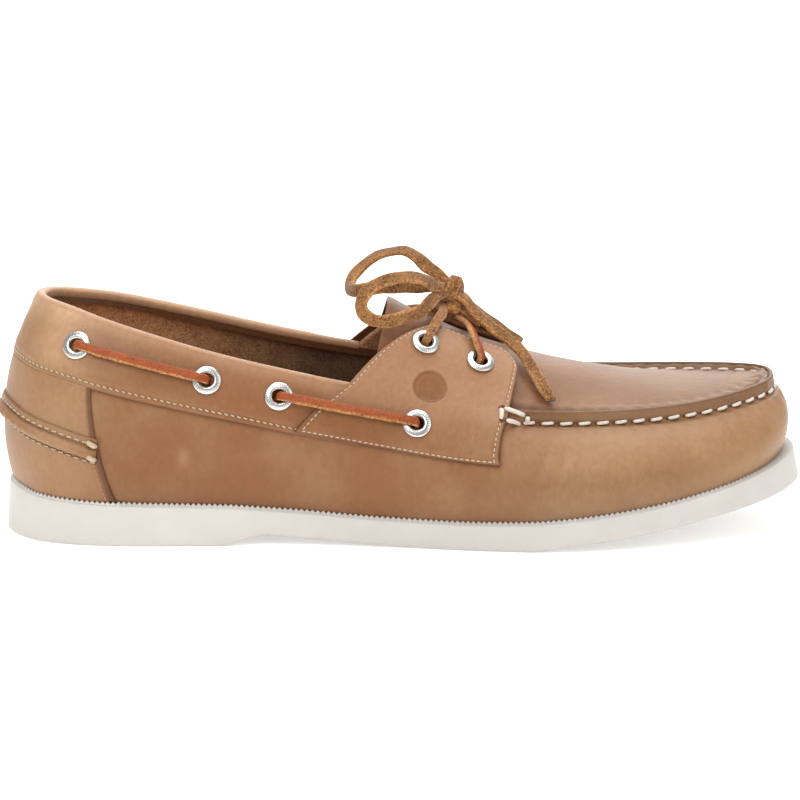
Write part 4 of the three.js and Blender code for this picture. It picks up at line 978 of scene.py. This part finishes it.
def out_of_eyelet(k, m, towards):
    # a point, the way the strip's face looks there, and its share of the full width
    seat, way = eyes[(k, m)]
    return [(seat - way * 2.3 - towards * 0.4, -towards, 0.72), (seat - way, -towards, 0.72),
            (seat + way * 0.6 + towards * 0.25, way * 0.3 - towards, 0.76),
            (seat + way * OVER + towards * 1.5, way - towards * 0.4, 0.88)]


def level_with(towards, way):
    return unit(towards - way * (towards @ way))


def lace_path(rows):
    knots, faces, widths = (np.array([r[k] for r in rows]) for k in range(3))
    line = curve_through(knots, 0.5)
    near = np.maximum.accumulate(np.array([np.argmin(((line - q) ** 2).sum(1)) for q in knots]))
    at = np.arange(len(line))
    return line, read_off(at, near, faces), np.interp(at, near, widths)


def onto(s, v, level, m, tilt=0.0):
    at = ROUND - s if m else s
    p = on_skin(at, v, level)
    return p, on_skin(at, v, level + 1) - p + UPWARD * tilt, 1.0


for m in (False, True):
    word = "medial" if m else "lateral"
    for name, first, second in (("rear", 0, 1), ("front", 2, 3)):
        (pa, wa), (pb, wb) = eyes[(first, m)], eyes[(second, m)]
        (sa, va), (sb, vb) = EYELETS[first], EYELETS[second]
        rows = out_of_eyelet(first, m, level_with(unit(pb - pa), wa))
        for t in (0.17, 0.3, 0.45, 0.6, 0.72, 0.83):
            s1, v1 = mix(sa, sb, t), mix(va, vb, t)
            cover = (OVER_GAP + OVERLAY) * float(smooth(4.75, 5.35, s1))
            sag = 0.0 if cover > 0.1 else 0.35 * math.sin(math.pi * t)
            rows.append(onto(s1, v1, float(band_step(s1)) + cover + OVER - sag, m, 0.6))
        rows += out_of_eyelet(second, m, level_with(unit(pa - pb), wb))[::-1]
        line, looks, shares = lace_path(rows)
        ribbon(f"lace_{word}_{name}_strip", line, looks, LACE_WIDE, LACE_THICK, [f"lace_{word}_{name}"],
               shares, face=rawhide_face, nap=1.0)

# Lace over the tongue: a bar of the strip from each pair of upper eyelets, laid over the wings. The
# first half knot of the bow gathers them, with a core where they cross and a turn under the knot.
BETWEEN = 1.62, 1.8
for index, (k, s_mid, above) in enumerate(((4, 6.62, 7.4), (5, 6.84, 5.6))):
    sides = []
    for m in (False, True):
        seat, way = eyes[(k, m)]
        cover = [float(lift(v)) + OVER_GAP + OVERLAY + OVER for v in BETWEEN]
        step_over = onto(mix(EYELETS[k][0], s_mid, 0.5), BETWEEN[0], cover[0], m)
        last = onto(mix(EYELETS[k][0], s_mid, 0.8), BETWEEN[1], mix(cover[1], above, 0.6), m)
        rows = out_of_eyelet(k, m, level_with(unit(step_over[0] - seat), way)) + [step_over, last]
        sides.append([(p, look + np.array([0.9 * index, 0, 0]), share) for p, look, share in rows])
    middle = (on_plug(np.array(s_mid), np.array(0.0), above), UPWARD, 1.0)
    line, looks, shares = lace_path(sides[0] + [middle] + sides[1][::-1])
    ribbon(f"lace_crossing_bar_{index + 1}", line, looks, LACE_WIDE, LACE_THICK,
           ["lace_crossing"] if index == 0 else (), shares, face=rawhide_face if index else None, nap=0.95)
half = on_plug(np.array(6.72), np.array(0.0), 6.2)
t = np.linspace(0, 1, 80)
wrap = np.stack([4.2 * np.cos(t * 8 - 1), 0.9 * np.sin(t * 5), 2.1 * np.sin(t * 8 - 1)], -1)
wrap[:, 1] += mix(-2.4, 2.4, t)
ribbon("lace_half_knot", half + wrap, wrap, 4.4, 2.0)
ribbon("lace_half_knot_core", half + np.stack([mix(-4, 5, t), 0 * t, 1.6 * np.sin(3 * t)], -1),
       np.repeat([[0, -0.5, 1.0]], 80, 0), 7.0, 5.0)
under = curve_through([[167.5, -1.5, 84.5], [171.5, -2.0, 83.6], [175.0, -1.0, 80.8], [179.0, 1.0, 77.0]], 0.5)
ribbon("lace_half_knot_turn", under, np.repeat([[0.2, -1.0, 0.6]], len(under), 0), 5.4, 2.2)

# Sock: suede on an insole board 2.7 mm thick, laid inside the wall and curled up at its edges. Only
# a little of it is seen, deep in the opening.
s = np.linspace(0, TOE, 150)
t = np.linspace(0, 1, 30)[:, None, None]
left, right = (feather(r) - outward(r) * (WALL + 2 * CLEAR) for r in (s, ROUND - s))
p = mix(left[None], right[None], t)
low = p.copy()
p[..., 2] = profile(1, p[..., 0]) + CLEAR + 2.7 + 1.6 * (2 * np.abs(t[..., 0] - 0.5)) ** 4
low[..., 2] = profile(1, p[..., 0]) + CLEAR + 0.1
piece("insole_sock", np.concatenate([p.reshape(-1, 3), low.reshape(-1, 3)]), sheet_faces(30, 150), suede,
      ["insole"], 0.6)

# Outsole: white rubber moulded in one piece and glued to the upper, its side slightly flared. A
# milled wheel has pressed teeth 2 mm apart along its upper edge, and wavy sipes 5 mm apart are
# cut across the tread.
TOOTH, SIPE = 2.0, 5.0

# Rubber, moulded and unpolished: off-white and matt, a little grubby in patches. The mould's grain
# is 0.3 mm and would not show, so it is drawn 0.77 mm wide.
rubber, tree = new_material("rubber_white_moulded")
place = add(tree, "ShaderNodeTexCoord").outputs["Object"]
dirt = add(tree, "ShaderNodeTexNoise", {"Vector": place, "Scale": 1000 / 14.3, "Detail": 6.0, "Roughness": 0.6})
mould = add(tree, "ShaderNodeTexVoronoi", {"Vector": place, "Scale": 1000 / 0.77})
tint = add(tree, "ShaderNodeMix", {0: dirt.outputs["Fac"], 6: colour("#BAB6B0"), 7: colour("#CAC7C1")},
           data_type="RGBA")
tone = add(tree, "ShaderNodeAttribute", attribute_name="tone").outputs["Fac"]
tinted = add(tree, "ShaderNodeVectorMath", {0: tint.outputs[2], 1: tone}, operation="MULTIPLY")
relief = add(tree, "ShaderNodeBump", {"Strength": 0.5, "Distance": 0.00012,
                                      "Height": mould.outputs["Distance"]})
add(tree, "Principled BSDF", {"Base Color": tinted.outputs[0], "Normal": relief.outputs[0], "Roughness": 0.6,
                              "Subsurface Weight": 0.08, "Subsurface Radius": (0.003, 0.003, 0.0025)})
STEP = 0.5
s = arc_places(0, ROUND, STEP, sole_edge)[:-1]
teeth = np.abs(np.mod(np.arange(len(s)) * STEP, TOOTH) - TOOTH / 2)
out = outward(s)
ledge = around("ledge", s) * SOLE_LEDGE
tooth = ledge - 1.25 * (1 - smooth(3.0, 3.2, side_of(s)))


def sole_row(inset, share, drop=0.0):
    p = sole_edge(s) - out * (inset + 0 * s)[:, None]
    p[:, 2] = mix(profile(2, p[:, 0]), profile(1, p[:, 0]), share) - drop
    return p


# from under the wall over the teeth and the ledge, down the flared side and round under the tread
rows = [sole_row(ledge + 2.0, 1.0, 0.3), sole_row(tooth + 0.5, 1.0, -0.3),
        sole_row(tooth + 0.1, 1.0, -0.5 - teeth),
        sole_row(tooth - 0.25, 1.0, -0.5 - 0.95 * teeth), sole_row(tooth - 0.7, 1.0, -0.25 - 0.45 * teeth),
        sole_row(mix(tooth, ledge * 0.3, 0.6) - 0.1, 1.0, -0.05)]
rows += [sole_row(ledge * 0.3 + inset, 1.0, drop) for inset, drop in ((0.5, 0.0), (0.15, 0.12), (0.0, 0.5))]
rows += [sole_row(ledge * 0.3 * share, share) for share in (0.85, 0.7, 0.55, 0.4, 0.25)]
rows += [sole_row(inset, 0.0, -rise) for inset, rise in ((0.02, 1.1), (0.2, 0.45), (0.6, 0.12), (1.1, 0.0))]
points = np.array(rows)
# painted shade on the rows next to the wall's foot and on the rows turning under the tread, faint painted shade
# between the teeth, and lighter towards the heel
tones = [0.85, 0.8, 0.85] + [1.0] * 11 + [0.99, 0.97, 0.95, 0.93]
tone = np.repeat(np.array(tones)[:, None], len(s), 1)
tone[3:5] += 0.04 * teeth - 0.04
tone *= mix(1.08, 0.95, smooth(60, 200, points[..., 0]))
piece("outsole_side", points, grid_faces(len(rows), len(s), closed=True), rubber,
      ["outsole"], tone)
s_half = np.linspace(0.02, TOE - 0.02, 700)
t = np.linspace(0, 1, 90)[:, None, None]
for name, column, inset, rise in (("tread", 2, 1.0, 0.0), ("top", 1, 2.4, -0.3)):
    near, far = (sole_edge(r) - outward(r) * inset for r in (s_half, ROUND - s_half))
    p = mix(near[None], far[None], t)
    p[..., 2] = profile(column, p[..., 0]) + rise
    if name == "tread":
        along = p[..., 0] + 1.6 * np.sin(p[..., 1] / 3.2)
        inner = smooth(0.02, 0.06, t[..., 0]) * smooth(0.02, 0.06, 1 - t[..., 0])
        p[..., 2] += 0.7 * bump(np.mod(along, SIPE), SIPE / 2, 0.35) * inner
    piece(f"outsole_{name}", p, grid_faces(90, 700), rubber)

# Stage: a sheet of white paper that sweeps up behind the shoe, lit by four soft boxes in a white
# room. The paper glows a little, so it stays as pale as the photo's backdrop and shows a soft shadow.
paper, tree = new_material("paper_white_matte")
add(tree, "Principled BSDF", {"Base Color": colour("#FBFBFA"), "Roughness": 0.9,
                              "Emission Color": colour("#FFFFFF"), "Emission Strength": 0.35})
t = np.linspace(0, math.pi / 2, 24)
sweep = [(-3.0, 0.0)] + [(1.4 + 1.2 * math.sin(a), 1.2 - 1.2 * math.cos(a)) for a in t] + [(2.6, 4.0)]
mesh = bpy.data.meshes.new("floor")
mesh.from_pydata([(x, y, z - 0.0002) for y, z in sweep for x in (-5.0, 5.0)], [],
                 [(2 * k, 2 * k + 1, 2 * k + 3, 2 * k + 2) for k in range(len(sweep) - 1)])
mesh.polygons.foreach_set("use_smooth", np.ones(len(mesh.polygons), bool))
mesh.materials.append(paper)
floor = bpy.data.objects.new("floor", mesh)
scene.collection.objects.link(floor)
scene.world = bpy.data.worlds.new("studio")
scene.world.use_nodes = True
add(scene.world.node_tree, "Background", {"Color": colour("#FFFFFF"), "Strength": 0.42})
for name, spot, size, power in (("key", (-0.6, -1.3, 1.4), 1.0, 18), ("top", (0.1, 0.2, 1.6), 1.5, 22),
                                ("fill", (1.3, -0.9, 0.8), 1.0, 5), ("back", (0.3, 1.6, 1.0), 1.4, 9)):
    light = bpy.data.lights.new(name, "AREA")
    light.size = size
    light.energy = power
    lamp = bpy.data.objects.new(name, light)
    scene.collection.objects.link(lamp)
    lamp.location = spot
    lamp.rotation_euler = (Vector((0, 0, 0.04)) - Vector(spot)).to_track_quat("-Z", "Y").to_euler()
